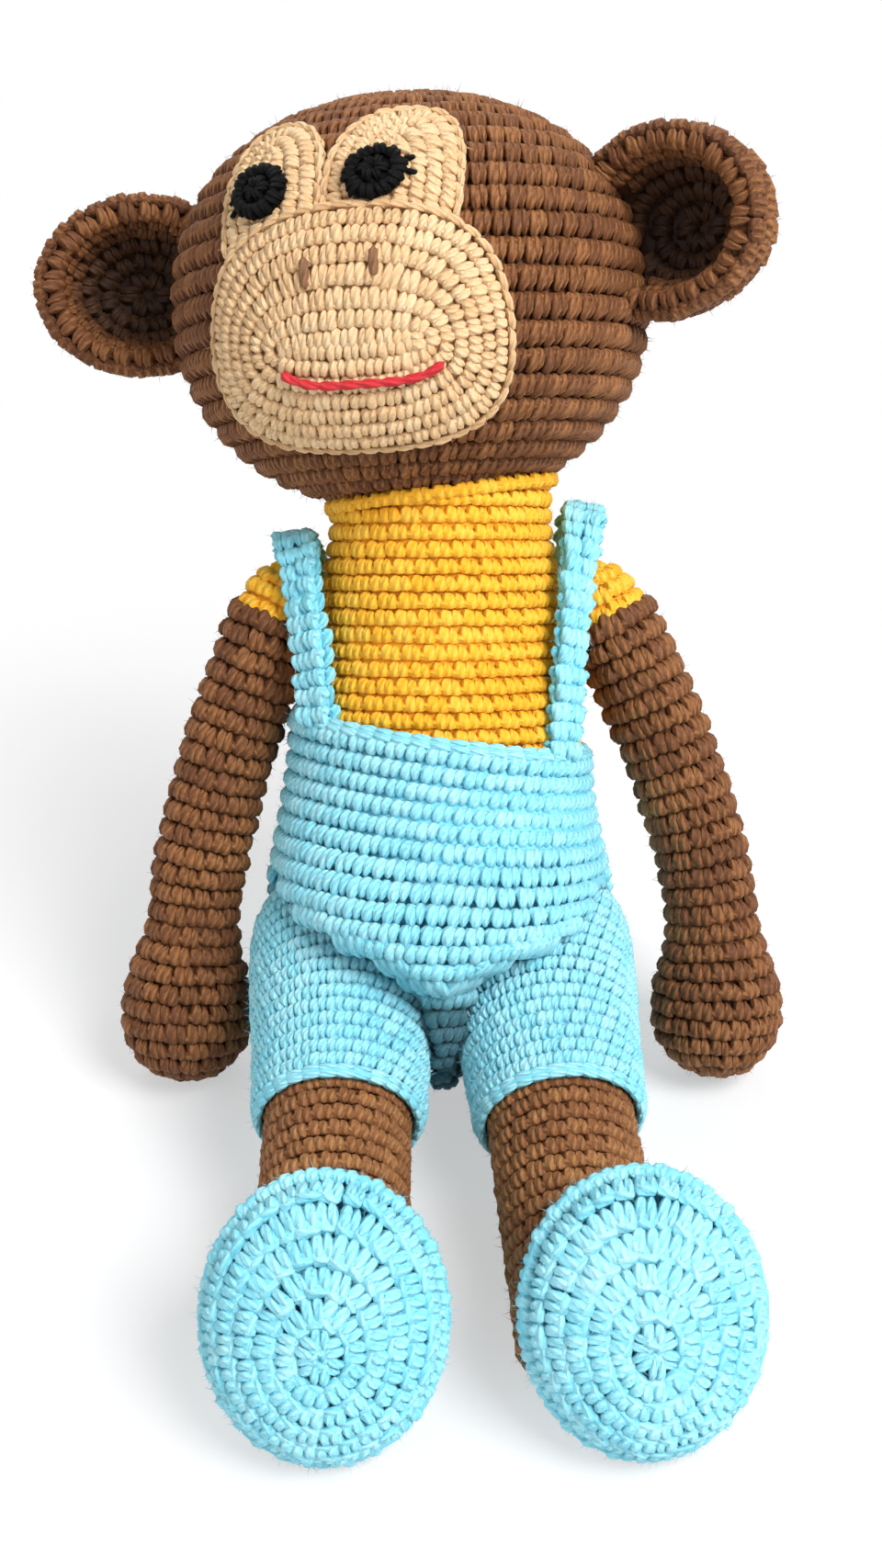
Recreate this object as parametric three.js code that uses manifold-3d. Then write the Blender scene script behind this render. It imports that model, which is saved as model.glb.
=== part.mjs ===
// A crocheted monkey in dungarees, sitting. Millimetres, +Z up, the toy faces -Y, its left is +X.
import * as THREE from 'three';
import { mergeVertices } from 'three/addons/utils/BufferGeometryUtils.js';
import Module from 'manifold-3d';

const wasm = await Module();
wasm.setup();

// Fabric and seams
const SEAM_GAP = 0.4; // between pieces that are sewn or laid together
const SWING_GAP = 0.7; // round pieces that turn
const FABRIC = 3; // wall of a crocheted skin
const GARMENT = 2.6; // wall of the dungarees
const YARN_RADIUS = 1.6; // a chain-stitch edge
const NECK_YARN_RADIUS = 1.1;

// Torso, measured along its axis from the middle of the hips
const LEAN = 26.4; // degrees, backwards
const HIPS_HEIGHT = 36; // above the ground
const HIPS_FORWARD = 12; // from the seat's middle
const TORSO_LENGTH = 102; // to the underside of the head
const NECK_RADIUS = 25.8;
const CHEST_RADIUS = 28.5;
const WAIST_RADIUS = 33;
const HIP_RADIUS = 39.2;
const SEAT_DROP = 33;
const SEAT_FULLNESS = 2.7; // exponent of the seat's curve
const SEAT_BULGE = 13; // of the seat to the rear
const SEAT_BULGE_AT = -16; // its middle, and its reach up and down
const SEAT_BULGE_REACH = 34;
const BELLY_TUCK = 14; // of the belly's underside, over each leg
const BELLY_TUCK_AT = -14; // its middle, and its reach up and down
const BELLY_TUCK_REACH = 21;
const BELLY_TUCK_ASIDE = 20; // from the middle, where the belly stays full, to the whole tuck
const OVERHANG = 5; // of the belly over the legs
const OVERHANG_AT = 9; // its middle, and its reach up and down
const OVERHANG_REACH = 22;
const WAIST_AT = 0.43; // shares of the torso's length
const CHEST_AT = 0.72;
const SHOULDER_AT = 0.77;

// Head
const HEAD_WIDTH = 110;
const HEAD_HEIGHT = 93;
const HEAD_FULLNESS = 2.2;
const HEAD_ROLL = 3.5; // degrees, towards its right shoulder
const HEAD_TURN = 17; // degrees, towards its right
const HEAD_ASIDE = 7; // towards its right
const NECK_OPENING = 18; // radius

// Face, laid out on the head: across in millimetres, up in degrees of latitude
const MUZZLE_WIDTH = 65.5;
const MUZZLE_HEIGHT = 50.5;
const MUZZLE_RISE = 5; // thickness
const MUZZLE_ASIDE = 3.3;
const MUZZLE_LATITUDE = -13;
const LEFT_EYE_WIDTH = 28; // of the patches
const RIGHT_EYE_WIDTH = 23.5;
const EYE_PATCH_HEIGHT = 46;
const EYE_PATCH_RISE = 2.6;
const EYE_LATITUDE = 25;
const EYE_GAP = 1.2; // between the patches
const EYES_ASIDE = 1.4; // towards its right
const PUPIL_SPACING = 24.4;
const PUPILS_ASIDE = 2.4; // towards its right
const PUPIL_LATITUDE = 23;
const PUPIL_WIDTH = 13;
const PUPIL_RISE = 2.2;
const NOSTRIL_SPACING = 13.5;
const NOSTRIL_LENGTH = 5;
const NOSTRIL_LATITUDE = 2;
const MOUTH_WIDTH = 32;
const MOUTH_ASIDE = 5.5;
const MOUTH_LATITUDE = -22;
const MOUTH_CURVE = 3.5; // height of the corners over the middle
const FACE_YARN_RADIUS = 1;
const FACE_TILT = 3.5; // degrees, its left side up

// Ears
const EAR_WIDTH = 49; // with the side that is in the head
const EAR_HEIGHT = 40.5;
const EAR_DEPTH = 23;
const EAR_WALL = 5;
const LEFT_EAR_OUT = 10; // from the side of the head to the middle of the ear
const RIGHT_EAR_OUT = 11;
const LEFT_EAR_LATITUDE = 13; // degrees
const RIGHT_EAR_LATITUDE = 10.5; // degrees
const LEFT_EAR_ANGLE = 80; // degrees from the middle of the face
const RIGHT_EAR_ANGLE = 82; // degrees
const EAR_OPENING = 20; // degrees inwards

// Arms
const ARM_LENGTH = 118;
const ARM_RADIUS = 10.4;
const HAND_RADIUS = 15;
const HAND_LENGTH = 40;
const LEFT_ARM_SPLAY = 14.2; // degrees
const RIGHT_ARM_SPLAY = 11.8; // degrees
const LEFT_BOW = 9.5;
const RIGHT_BOW = 6.8;
const SLEEVE_LENGTH = 2.5;
const SHOULDER_BALL = 9.4;

// Dungarees
const WAIST_EDGE = 46; // height of the waist edge over the hips
const WAIST_TILT = 8; // degrees, lower at its left
const STRAP_WIDTH = 9;
const STRAP_THICKNESS = 3.4;
const STRAP_ANGLE = 53; // degrees from the middle of the front
const STRAP_OFF_SHOULDER = 8.5; // from the chest to the middle of the strap
const LEFT_STRAP_OVER = 12.5; // from the sleeve to the middle of the strap
const RIGHT_STRAP_OVER = 6;

// Legs, measured from the hip
const HIP_SPACING = 45;
const HIP_BALL = 22.6;
const HIP_AHEAD = 10; // in front of the middle of the hips
const LEG_SLOPE = 12; // degrees, down
const LEFT_SPLAY = 5; // degrees
const RIGHT_SPLAY = 0.5; // degrees
const HIP_TRAVEL = 52; // degrees from sitting to straight
const TROUSER_LENGTH = 47;
const CUFF_RADIUS = 19.4;
const LEG_RADIUS = 15.8;

// Shoes
const SHOE_WIDTH = 46;
const SHOE_LENGTH = 54.5;
const SHOE_DEPTH = 37; // from the sole to the back
const SHOE_FULLNESS = 2.5;
const SOLE_RISE = 5;
const FOOT_PITCH = 49; // degrees, the sole's outward side against the leg
const SOLE_AHEAD = 106; // the sole's middle from the hip
const SOLE_UP = 12;
const LEFT_SOLE_OUT = 9; // the left foot is turned out
const RIDGE_RADIUS = 1.2;

const BROWN = 0x7d583c;
const BEIGE = 0xdeba8c;
const YELLOW = 0xfabe28;
const BLUE = 0x6ecdeb;
const BLACK = 0x15120f;
const RED = 0xcd2d32;
const DARK_BROWN = 0x6b4427;
const WADDING = 0xf2efe8;

// Sides of the round forms
const BIG_SIDES = 24;
const LIMB_SIDES = 14;
const FILL_SIDES = 12;

const group = new THREE.Group();
const radians = THREE.MathUtils.degToRad;
const { lerp, smoothstep } = THREE.MathUtils;

function add(name, solid, colour) {
  const geometry = solid.isBufferGeometry ? solid : geometryOf(solid);
  const material = new THREE.MeshStandardMaterial({ color: colour, roughness: 0.9, metalness: 0 });
  const mesh = new THREE.Mesh(geometry, material);
  mesh.name = name;
  group.add(mesh);
}

// Merges vertices, drops flat faces and turns every face outwards.
function closed(source) {
  const bare = source.clone();
  bare.deleteAttribute('normal');
  bare.deleteAttribute('uv');
  const merged = mergeVertices(bare, 1e-4);
  const place = merged.getAttribute('position');
  const corners = [0, 1, 2].map(() => new THREE.Vector3());
  const faces = [];
  let volume = 0;
  for (let i = 0; i < merged.index.count; i += 3) {
    const face = [0, 1, 2].map((k) => merged.index.getX(i + k));
    if (new Set(face).size === 3) {
      face.forEach((vertex, k) => corners[k].fromBufferAttribute(place, vertex));
      volume += corners[0].dot(corners[1].cross(corners[2]));
      faces.push(face);
    }
  }
  merged.setIndex(faces.flatMap((face) => (volume < 0 ? [face[0], face[2], face[1]] : face)));
  return merged;
}

function solidOf(geometry) {
  const mesh = closed(geometry);
  const vertProperties = new Float32Array(mesh.getAttribute('position').array);
  const triVerts = new Uint32Array(mesh.index.array);
  return new wasm.Manifold(new wasm.Mesh({ numProp: 3, vertProperties, triVerts }));
}

function geometryOf(solid) {
  const mesh = solid.getMesh();
  const geometry = new THREE.BufferGeometry();
  geometry.setAttribute('position', new THREE.BufferAttribute(new Float32Array(mesh.vertProperties), 3));
  geometry.setIndex(new THREE.BufferAttribute(new Uint32Array(mesh.triVerts), 1));
  geometry.computeVertexNormals();
  return geometry;
}

// A turned form about +Y, from [radius, height] points.
function turned(profile, segments) {
  const points = profile.map(([radius, height]) => new THREE.Vector2(radius, height));
  return new THREE.LatheGeometry(points, segments);
}

// Joins rings of points, each a ring or one pole, into a closed surface.
function loft(rings, loop = false) {
  const places = [];
  const starts = [];
  const index = [];
  for (const ring of rings) {
    starts.push(places.length);
    places.push(...ring);
  }
  const spans = loop ? rings.length : rings.length - 1;
  for (let i = 0; i < spans; i += 1) {
    const next = (i + 1) % rings.length;
    const sides = Math.max(rings[i].length, rings[next].length);
    for (let j = 0; j < sides; j += 1) {
      const [a, b] = [j, (j + 1) % sides].map((k) => starts[i] + (rings[i].length > 1 ? k : 0));
      const [c, d] = [j, (j + 1) % sides].map((k) => starts[next] + (rings[next].length > 1 ? k : 0));
      if (a !== b) index.push(a, b, c);
      if (c !== d) index.push(b, d, c);
    }
  }
  const geometry = new THREE.BufferGeometry().setFromPoints(places);
  geometry.setIndex(index);
  return closed(geometry);
}

// A round yarn along points; a ring where loop is true, else with rounded ends.
function yarn(points, radius, loop = false, sides = 5) {
  const count = points.length;
  const rings = points.map((point, i) => {
    const before = points[loop ? (i + count - 1) % count : Math.max(i - 1, 0)];
    const after = points[loop ? (i + 1) % count : Math.min(i + 1, count - 1)];
    const along = after.clone().sub(before).normalize();
    const helper = Math.abs(along.z) < 0.8 ? new THREE.Vector3(0, 0, 1) : new THREE.Vector3(0, 1, 0);
    const side = helper.cross(along).normalize();
    const up = along.clone().cross(side);
    return Array.from({ length: sides }, (_, k) => {
      const angle = (2 * Math.PI * k) / sides;
      return point.clone().addScaledVector(side, radius * Math.cos(angle))
        .addScaledVector(up, radius * Math.sin(angle));
    });
  });
  if (!loop) {
    const end = (tip, inner) => [tip.clone().add(tip.clone().sub(inner).setLength(radius * 0.6))];
    rings.unshift(end(points[0], points[1]));
    rings.push(end(points[count - 1], points[count - 2]));
  }
  return loft(rings, loop);
}

const range = (count, from, to) =>
  Array.from({ length: count }, (_, i) => lerp(from, to, i / (count - 1)));

// Everything under a level, for a form that rests on the ground.
function under(level) {
  const block = new THREE.BoxGeometry(800, 800, 400);
  block.translate(0, 0, level - 200);
  return solidOf(block);
}

const resting = (geometry, level) => solidOf(geometry).subtract(under(level));

// Torso

const torsoMatrix = new THREE.Matrix4().makeTranslation(0, -HIPS_FORWARD, HIPS_HEIGHT)
  .multiply(new THREE.Matrix4().makeRotationX(-radians(LEAN)));
const WAIST_HEIGHT = TORSO_LENGTH * WAIST_AT;
const CHEST_HEIGHT = TORSO_LENGTH * CHEST_AT;

function torsoRadius(height, out = 0) {
  if (height <= 0) {
    const share = Math.min(-height / (SEAT_DROP + out), 1);
    return (HIP_RADIUS + out) * (1 - share ** SEAT_FULLNESS) ** (1 / SEAT_FULLNESS);
  }
  const lower = lerp(HIP_RADIUS, WAIST_RADIUS, smoothstep(height, 0, WAIST_HEIGHT));
  const middle = lerp(lower, CHEST_RADIUS, smoothstep(height, WAIST_HEIGHT, CHEST_HEIGHT));
  return out + lerp(middle, NECK_RADIUS, smoothstep(height, CHEST_HEIGHT, TORSO_LENGTH));
}

// The torso's form, moved out by a distance and reaching up to a height.
function torsoForm(out, top) {
  const bend = range(6, 0, 1).map((t) => -(SEAT_DROP + out) * Math.cos((t * Math.PI) / 2));
  const rise = range(13, 0, TORSO_LENGTH * 1.5).slice(1).filter((height) => height < top - 1);
  const heights = [...bend, ...rise, top];
  const profile = heights.map((height) => [torsoRadius(height, out), height]);
  const form = turned([...profile, [0, top]], BIG_SIDES);
  form.rotateX(Math.PI / 2);
  bulge(form);
  form.applyMatrix4(torsoMatrix);
  return form;
}

// 1 at the middle of a bulge, falling to 0 at its reach.
const swell = (height, middle, reach) =>
  Math.cos((Math.min(Math.abs(height - middle) / reach, 1) * Math.PI) / 2) ** 2;

// Pushes the seat out to the rear and the belly out over the legs, and tucks its underside in.
function bulge(form) {
  const place = form.getAttribute('position');
  for (let i = 0; i < place.count; i += 1) {
    const [y, z] = [place.getY(i), place.getZ(i)];
    const share = (Math.abs(y) / (HIP_RADIUS + GARMENT)) ** 1.5;
    const seat = SEAT_BULGE * swell(z, SEAT_BULGE_AT, SEAT_BULGE_REACH);
    const aside = smoothstep(Math.abs(place.getX(i)), 0, BELLY_TUCK_ASIDE);
    const tuck = BELLY_TUCK * aside * swell(z, BELLY_TUCK_AT, BELLY_TUCK_REACH);
    const belly = tuck - OVERHANG * swell(z, OVERHANG_AT, OVERHANG_REACH);
    place.setY(i, y + share * (y > 0 ? seat : belly));
  }
}

const onTorso = (angle, radius, height) =>
  new THREE.Vector3(radius * Math.sin(angle), -radius * Math.cos(angle), height);

// Head

const headMatrix = torsoMatrix.clone()
  .multiply(new THREE.Matrix4().makeTranslation(-HEAD_ASIDE, 0, TORSO_LENGTH + HEAD_HEIGHT / 2))
  .multiply(new THREE.Matrix4().makeRotationY(-radians(HEAD_ROLL)))
  .multiply(new THREE.Matrix4().makeRotationZ(-radians(HEAD_TURN)));

function headCurve(latitude, out) {
  const power = 2 / HEAD_FULLNESS;
  const radius = (HEAD_WIDTH / 2 + out) * Math.max(Math.cos(latitude), 0) ** power;
  const height = (HEAD_HEIGHT / 2 + out) * Math.sign(latitude) * Math.abs(Math.sin(latitude)) ** power;
  return [radius, height];
}

// Latitude at which the head's curve has a radius, under the middle.
function openingLatitude(out) {
  const share = (NECK_OPENING / (HEAD_WIDTH / 2 + out)) ** (HEAD_FULLNESS / 2);
  return -Math.acos(share);
}

const skinLatitudes = range(12, openingLatitude(0), Math.PI / 2);
const hollowLatitudes = range(8, openingLatitude(-FABRIC), Math.PI / 2);

// The whole head's form, moved out by a distance.
function headForm(out) {
  const form = turned([-Math.PI / 2, ...skinLatitudes].map((t) => headCurve(t, out)), BIG_SIDES);
  form.rotateX(Math.PI / 2);
  form.applyMatrix4(headMatrix);
  return form;
}

function headSkin() {
  const outer = skinLatitudes.map((t) => headCurve(t, 0));
  const inner = [...hollowLatitudes].reverse().map((t) => headCurve(t, -FABRIC));
  const form = turned([...inner, ...outer], BIG_SIDES);
  form.rotateX(Math.PI / 2);
  form.applyMatrix4(headMatrix);
  return closed(form);
}

function headStuffing() {
  const out = -FABRIC - 2 * SEAM_GAP;
  const curve = hollowLatitudes.map((t) => headCurve(t, out));
  const form = turned([[0, curve[0][1]], ...curve], BIG_SIDES);
  form.rotateX(Math.PI / 2);
  form.applyMatrix4(headMatrix);
  return closed(form);
}

// Point on the face: across in millimetres, latitude in degrees, and a distance out from the skin.
function onHead(across, latitude, out) {
  const angle = radians(latitude) + (across * radians(FACE_TILT) * 2) / HEAD_WIDTH;
  const [radius, height] = headCurve(angle, out);
  const [skinRadius] = headCurve(angle, 0);
  const turn = across / Math.max(skinRadius, 1);
  return new THREE.Vector3(radius * Math.sin(turn), -radius * Math.cos(turn), height);
}

const DEGREES_PER_MM = THREE.MathUtils.radToDeg(4 / (HEAD_WIDTH + HEAD_HEIGHT));

// A sewn patch: an oval with a rounded edge laid on the head.
function patch({ across, latitude, width, height, base, rise, fullness, sides, steps }) {
  const power = 2 / fullness;
  const ring = (share, out) => Array.from({ length: sides }, (_, k) => {
    const angle = (2 * Math.PI * k) / sides;
    const [c, s] = [Math.cos(angle), Math.sin(angle)];
    const u = (width / 2) * share * Math.sign(c) * Math.abs(c) ** power;
    const v = (height / 2) * share * Math.sign(s) * Math.abs(s) ** power;
    return onHead(across + u, latitude + v * DEGREES_PER_MM, out).applyMatrix4(headMatrix);
  });
  const pole = (out) => [onHead(across, latitude, out).applyMatrix4(headMatrix)];
  const shares = range(steps + 1, 0, 1).slice(1);
  const inner = shares.map((share) => ring(share, base));
  const outer = shares.map((share) => ring(share, base + rise * domed(share))).reverse();
  return loft([pole(base), ...inner, ...outer, pole(base + rise)]);
}

// Height of a patch over its base, as a share of its rise.
function domed(share) {
  return 0.5 + 0.5 * Math.sqrt(Math.max(1 - share ** 4, 0));
}

function muzzle(out = 0) {
  return patch({
    across: MUZZLE_ASIDE, latitude: MUZZLE_LATITUDE, width: MUZZLE_WIDTH + 2 * out,
    height: MUZZLE_HEIGHT + 2 * out, base: SEAM_GAP - 2 * out, rise: MUZZLE_RISE + 6 * out,
    fullness: 2.4, sides: 26, steps: 4,
  });
}

function eyePatch({ side, eye }) {
  const form = patch({
    across: (side * (eye + EYE_GAP)) / 2 - EYES_ASIDE, latitude: EYE_LATITUDE - 4, width: eye,
    height: EYE_PATCH_HEIGHT, base: SEAM_GAP, rise: EYE_PATCH_RISE, fullness: 2.3, sides: 18, steps: 3,
  });
  return solidOf(form).subtract(solidOf(muzzle(SEAM_GAP)));
}

function pupil(side) {
  return patch({
    across: (side * PUPIL_SPACING) / 2 - PUPILS_ASIDE, latitude: PUPIL_LATITUDE, width: PUPIL_WIDTH,
    height: PUPIL_WIDTH, base: 2 * SEAM_GAP + EYE_PATCH_RISE, rise: PUPIL_RISE, fullness: 2,
    sides: 12, steps: 2,
  });
}

// A yarn on the muzzle through points across and in degrees of latitude.
function muzzleYarn(points) {
  const places = points.map(([across, latitude]) => {
    const u = (across - MUZZLE_ASIDE) / (MUZZLE_WIDTH / 2);
    const v = (latitude - MUZZLE_LATITUDE) / DEGREES_PER_MM / (MUZZLE_HEIGHT / 2);
    const top = 2 * SEAM_GAP + MUZZLE_RISE * domed(Math.min(Math.hypot(u, v), 1));
    return onHead(across, latitude, top + FACE_YARN_RADIUS).applyMatrix4(headMatrix);
  });
  return yarn(places, FACE_YARN_RADIUS);
}

function mouth() {
  return muzzleYarn(range(11, -1, 1).map((t) => {
    const lift = MOUTH_CURVE * t ** 4 * DEGREES_PER_MM;
    return [MOUTH_ASIDE + (t * MOUTH_WIDTH) / 2, MOUTH_LATITUDE + lift];
  }));
}

function nostril(side) {
  const half = (NOSTRIL_LENGTH / 2) * DEGREES_PER_MM;
  const across = MUZZLE_ASIDE + (side * NOSTRIL_SPACING) / 2;
  return muzzleYarn(range(3, -1, 1).map((t) => [across, NOSTRIL_LATITUDE + t * half]));
}

// A cup that opens forwards and inwards, sewn to the side of the head.
function ear({ side, earOut, earAngle, earLatitude }) {
  const half = EAR_HEIGHT / 2;
  const bend = range(6, 0, Math.PI / 2);
  const outer = bend.map((t) => [half * Math.sin(t), -EAR_DEPTH * Math.cos(t)]);
  const hollow = [...bend].reverse()
    .map((t) => [(half - EAR_WALL) * Math.sin(t), -(EAR_DEPTH - EAR_WALL) * Math.cos(t)]);
  const lip = [half - EAR_WALL / 2, EAR_WALL / 2];
  const cup = turned([...outer, lip, ...hollow], 16);
  cup.rotateX(Math.PI);
  cup.scale(EAR_WIDTH / EAR_HEIGHT, 1, 1);
  cup.rotateZ(-side * radians(EAR_OPENING));
  const [radius, height] = headCurve(radians(earLatitude), 0);
  const angle = radians(earAngle);
  const reach = radius + earOut;
  cup.translate(side * reach * Math.sin(angle), -reach * Math.cos(angle), height);
  cup.applyMatrix4(headMatrix);
  return solidOf(cup).subtract(solidOf(headForm(SEAM_GAP)));
}

// The yarn ring where the torso meets the head.
function neckSeam() {
  const inverse = headMatrix.clone().invert();
  const clear = NECK_YARN_RADIUS + SWING_GAP + SEAM_GAP;
  const inside = (place) => {
    const local = place.clone().applyMatrix4(torsoMatrix).applyMatrix4(inverse);
    const across = Math.hypot(local.x, local.y) / (HEAD_WIDTH / 2 + clear);
    const up = Math.abs(local.z) / (HEAD_HEIGHT / 2 + clear);
    return across ** HEAD_FULLNESS + up ** HEAD_FULLNESS < 1;
  };
  const points = range(25, 0, 2 * Math.PI).slice(1).map((angle) => {
    let [low, high] = [TORSO_LENGTH * 0.7, TORSO_LENGTH + HEAD_HEIGHT / 2];
    const at = (height) => onTorso(angle, torsoRadius(height, NECK_YARN_RADIUS + SEAM_GAP), height);
    for (let i = 0; i < 30; i += 1) {
      const middle = (low + high) / 2;
      if (inside(at(middle))) high = middle;
      else low = middle;
    }
    return at(low);
  });
  const ring = yarn(points, NECK_YARN_RADIUS, true);
  ring.applyMatrix4(torsoMatrix);
  return ring;
}

// Legs

const sides = [
  {
    side: 1, name: 'left', splay: LEFT_SPLAY, out: LEFT_SOLE_OUT,
    armSplay: LEFT_ARM_SPLAY, bow: LEFT_BOW, eye: LEFT_EYE_WIDTH, strapOver: LEFT_STRAP_OVER,
    earOut: LEFT_EAR_OUT, earAngle: LEFT_EAR_ANGLE, earLatitude: LEFT_EAR_LATITUDE,
  },
  {
    side: -1, name: 'right', splay: -RIGHT_SPLAY, out: 0,
    armSplay: RIGHT_ARM_SPLAY, bow: RIGHT_BOW, eye: RIGHT_EYE_WIDTH, strapOver: RIGHT_STRAP_OVER,
    earOut: RIGHT_EAR_OUT, earAngle: RIGHT_EAR_ANGLE, earLatitude: RIGHT_EAR_LATITUDE,
  },
];

const hipPlace = (side) =>
  new THREE.Vector3((side * HIP_SPACING) / 2, -HIPS_FORWARD - HIP_AHEAD, HIPS_HEIGHT);

// The leg's own frame: its axis is -Y; swung down from sitting by an angle in degrees.
function legMatrix({ side, splay }, swung = 0) {
  return new THREE.Matrix4().setPosition(hipPlace(side))
    .multiply(new THREE.Matrix4().makeRotationX(radians(LEG_SLOPE + swung)))
    .multiply(new THREE.Matrix4().makeRotationZ(radians(splay)));
}

function trouserRadius(along, out = 0) {
  if (along <= 0) return Math.sqrt(Math.max((HIP_BALL + out) ** 2 - along ** 2, 0));
  return out + lerp(HIP_BALL, CUFF_RADIUS, smoothstep(along, 0, TROUSER_LENGTH));
}

const hipBend = (out) => range(5, 0, 1).map((t) => -(HIP_BALL + out) * Math.cos((t * Math.PI) / 2));

// The trouser leg from the hip on, as a solid.
function trouserTube(out) {
  const stations = range(3, 0, TROUSER_LENGTH);
  const outline = stations.map((q) => [trouserRadius(q, out), q]);
  const form = turned([[0, 0], ...outline, [0, TROUSER_LENGTH]], LIMB_SIDES);
  form.rotateX(Math.PI);
  return form;
}

// Everything the trouser leg passes through as it swings: a ball, two tubes and the sector between.
function swept(leg) {
  const { side, splay } = leg;
  const hip = hipPlace(side);
  const slant = Math.tan(radians(splay));
  const stations = range(3, 0, TROUSER_LENGTH);
  const outline = [...stations.map((q) => [q, 1]), ...stations.reverse().map((q) => [q, -1])];
  const cut = (angle) => outline.map(([q, edge]) => {
    const turn = radians(LEG_SLOPE + angle);
    const across = q * slant + edge * trouserRadius(q, SWING_GAP);
    const reach = q + HIP_BALL * 0.02;
    return new THREE.Vector3(across, -reach * Math.cos(turn), -reach * Math.sin(turn)).add(hip);
  });
  const rings = range(5, 0, HIP_TRAVEL).map(cut);
  const total = (ring) => ring.reduce((sum, point) => sum.add(point), new THREE.Vector3());
  const middle = (ring) => [total(ring).divideScalar(ring.length)];
  const sector = loft([middle(rings[0]), ...rings, middle(rings[rings.length - 1])]);
  const ball = new THREE.SphereGeometry(HIP_BALL + SWING_GAP, 20, 10).rotateZ(Math.PI / 2);
  ball.translate(hip.x, hip.y, hip.z);
  const end = (angle) => solidOf(trouserTube(SWING_GAP).applyMatrix4(legMatrix(leg, angle)));
  return solidOf(ball).add(solidOf(sector)).add(end(0)).add(end(HIP_TRAVEL));
}

function trouserLeg(leg) {
  const outer = [...hipBend(0), ...range(3, 0, TROUSER_LENGTH).slice(1)].map((q) => [trouserRadius(q), q]);
  const inner = [...range(3, TROUSER_LENGTH, 0), ...hipBend(-GARMENT).reverse().slice(1)]
    .map((q) => [trouserRadius(q, -GARMENT), q]);
  const form = turned([...outer, ...inner], LIMB_SIDES);
  form.rotateX(Math.PI);
  return closed(form.applyMatrix4(legMatrix(leg)));
}

function circlePoints(count, across, up, along) {
  return range(count + 1, 0, 2 * Math.PI).slice(1)
    .map((angle) => new THREE.Vector3(across * Math.cos(angle), along, up * Math.sin(angle)));
}

function cuffEdge(leg) {
  const middle = CUFF_RADIUS - GARMENT / 2;
  const along = -(TROUSER_LENGTH + SEAM_GAP + YARN_RADIUS);
  return yarn(circlePoints(20, middle, middle, along), YARN_RADIUS, true).applyMatrix4(legMatrix(leg));
}

// The leg fills the trouser leg at the thigh and is slimmer from the cuff on.
function legRadius(along, out = 0) {
  const thigh = trouserRadius(along, out - GARMENT - SEAM_GAP);
  return lerp(thigh, LEG_RADIUS + out, smoothstep(along, TROUSER_LENGTH * 0.4, TROUSER_LENGTH * 0.9));
}

const shoeMatrix = (leg) => legMatrix(leg)
  .multiply(new THREE.Matrix4().makeTranslation(leg.out, -SOLE_AHEAD, SOLE_UP))
  .multiply(new THREE.Matrix4().makeRotationX(-radians(FOOT_PITCH)));

const LEG_END = SOLE_AHEAD - SHOE_DEPTH * 0.5;

function legForm(leg, out, end = LEG_END) {
  const bend = hipBend(out - GARMENT - SEAM_GAP);
  const stations = [...bend, ...range(7, 0, LEG_END).slice(1, -1), end];
  const profile = stations.map((q) => [legRadius(q, out), q]);
  const form = turned([...profile, [0, end]], LIMB_SIDES);
  form.rotateX(Math.PI);
  return form.applyMatrix4(legMatrix(leg));
}

// The shoe's form behind its sole, moved out by a distance.
function shoeForm(leg, out) {
  const depth = SHOE_DEPTH + out;
  const stations = range(6, 0, Math.PI / 2).map((t) => depth * Math.sin(t));
  const scale = (d) => Math.max(1 - (d / depth) ** SHOE_FULLNESS, 0) ** (1 / SHOE_FULLNESS);
  const form = turned([[0, 0], ...stations.map((d) => [scale(d), d])], 18);
  form.scale(SHOE_WIDTH / 2 + out, 1, SHOE_LENGTH / 2 + out);
  return form.applyMatrix4(shoeMatrix(leg));
}

// The form with its sole side pushed out, so that it cuts right through the rim.
function shoeHollow(leg, out) {
  const form = solidOf(shoeForm(leg, out));
  const plug = turned([[0, -9], [1, -9], [1, 0.5], [0, 0.5]], 18);
  plug.scale(SHOE_WIDTH / 2 + out, 1, SHOE_LENGTH / 2 + out);
  return form.add(solidOf(plug.applyMatrix4(shoeMatrix(leg))));
}

function shoeUpper(leg) {
  const hollow = shoeHollow(leg, -FABRIC).subtract(under(FABRIC));
  return resting(shoeForm(leg, 0), 0).subtract(hollow);
}

function shoeStuffing(leg) {
  const out = -FABRIC - 2 * SEAM_GAP;
  return resting(shoeForm(leg, out), FABRIC + 2 * SEAM_GAP);
}

function shoeSole(leg) {
  const rim = 0.93;
  const bulge = range(5, 0, Math.PI / 2)
    .map((t) => [rim + (1 - rim) * Math.cos(t) - rim * Math.sin(t) ** 2, t]);
  const rise = (t) => SOLE_RISE * (0.45 + 0.55 * Math.sin(t));
  const front = bulge.map(([radius, t]) => [Math.max(radius, 0), -SEAM_GAP - rise(t)]);
  const form = turned([[0, -SEAM_GAP], [1, -SEAM_GAP], ...front], 18);
  form.scale(SHOE_WIDTH / 2, 1, SHOE_LENGTH / 2);
  return resting(form.applyMatrix4(shoeMatrix(leg)), 0);
}

function soleRidge(leg) {
  const grow = RIDGE_RADIUS + SEAM_GAP;
  const points = circlePoints(20, SHOE_WIDTH / 2 + grow, SHOE_LENGTH / 2 + grow, -SEAM_GAP);
  return resting(yarn(points, RIDGE_RADIUS, true).applyMatrix4(shoeMatrix(leg)), 0);
}

// Arms

const SHOULDER_OUT = torsoRadius(TORSO_LENGTH * SHOULDER_AT) + SHOULDER_BALL + SWING_GAP;
const shoulderMatrix = (side) => torsoMatrix.clone()
  .multiply(new THREE.Matrix4().makeTranslation(side * SHOULDER_OUT, 0, TORSO_LENGTH * SHOULDER_AT));

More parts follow.
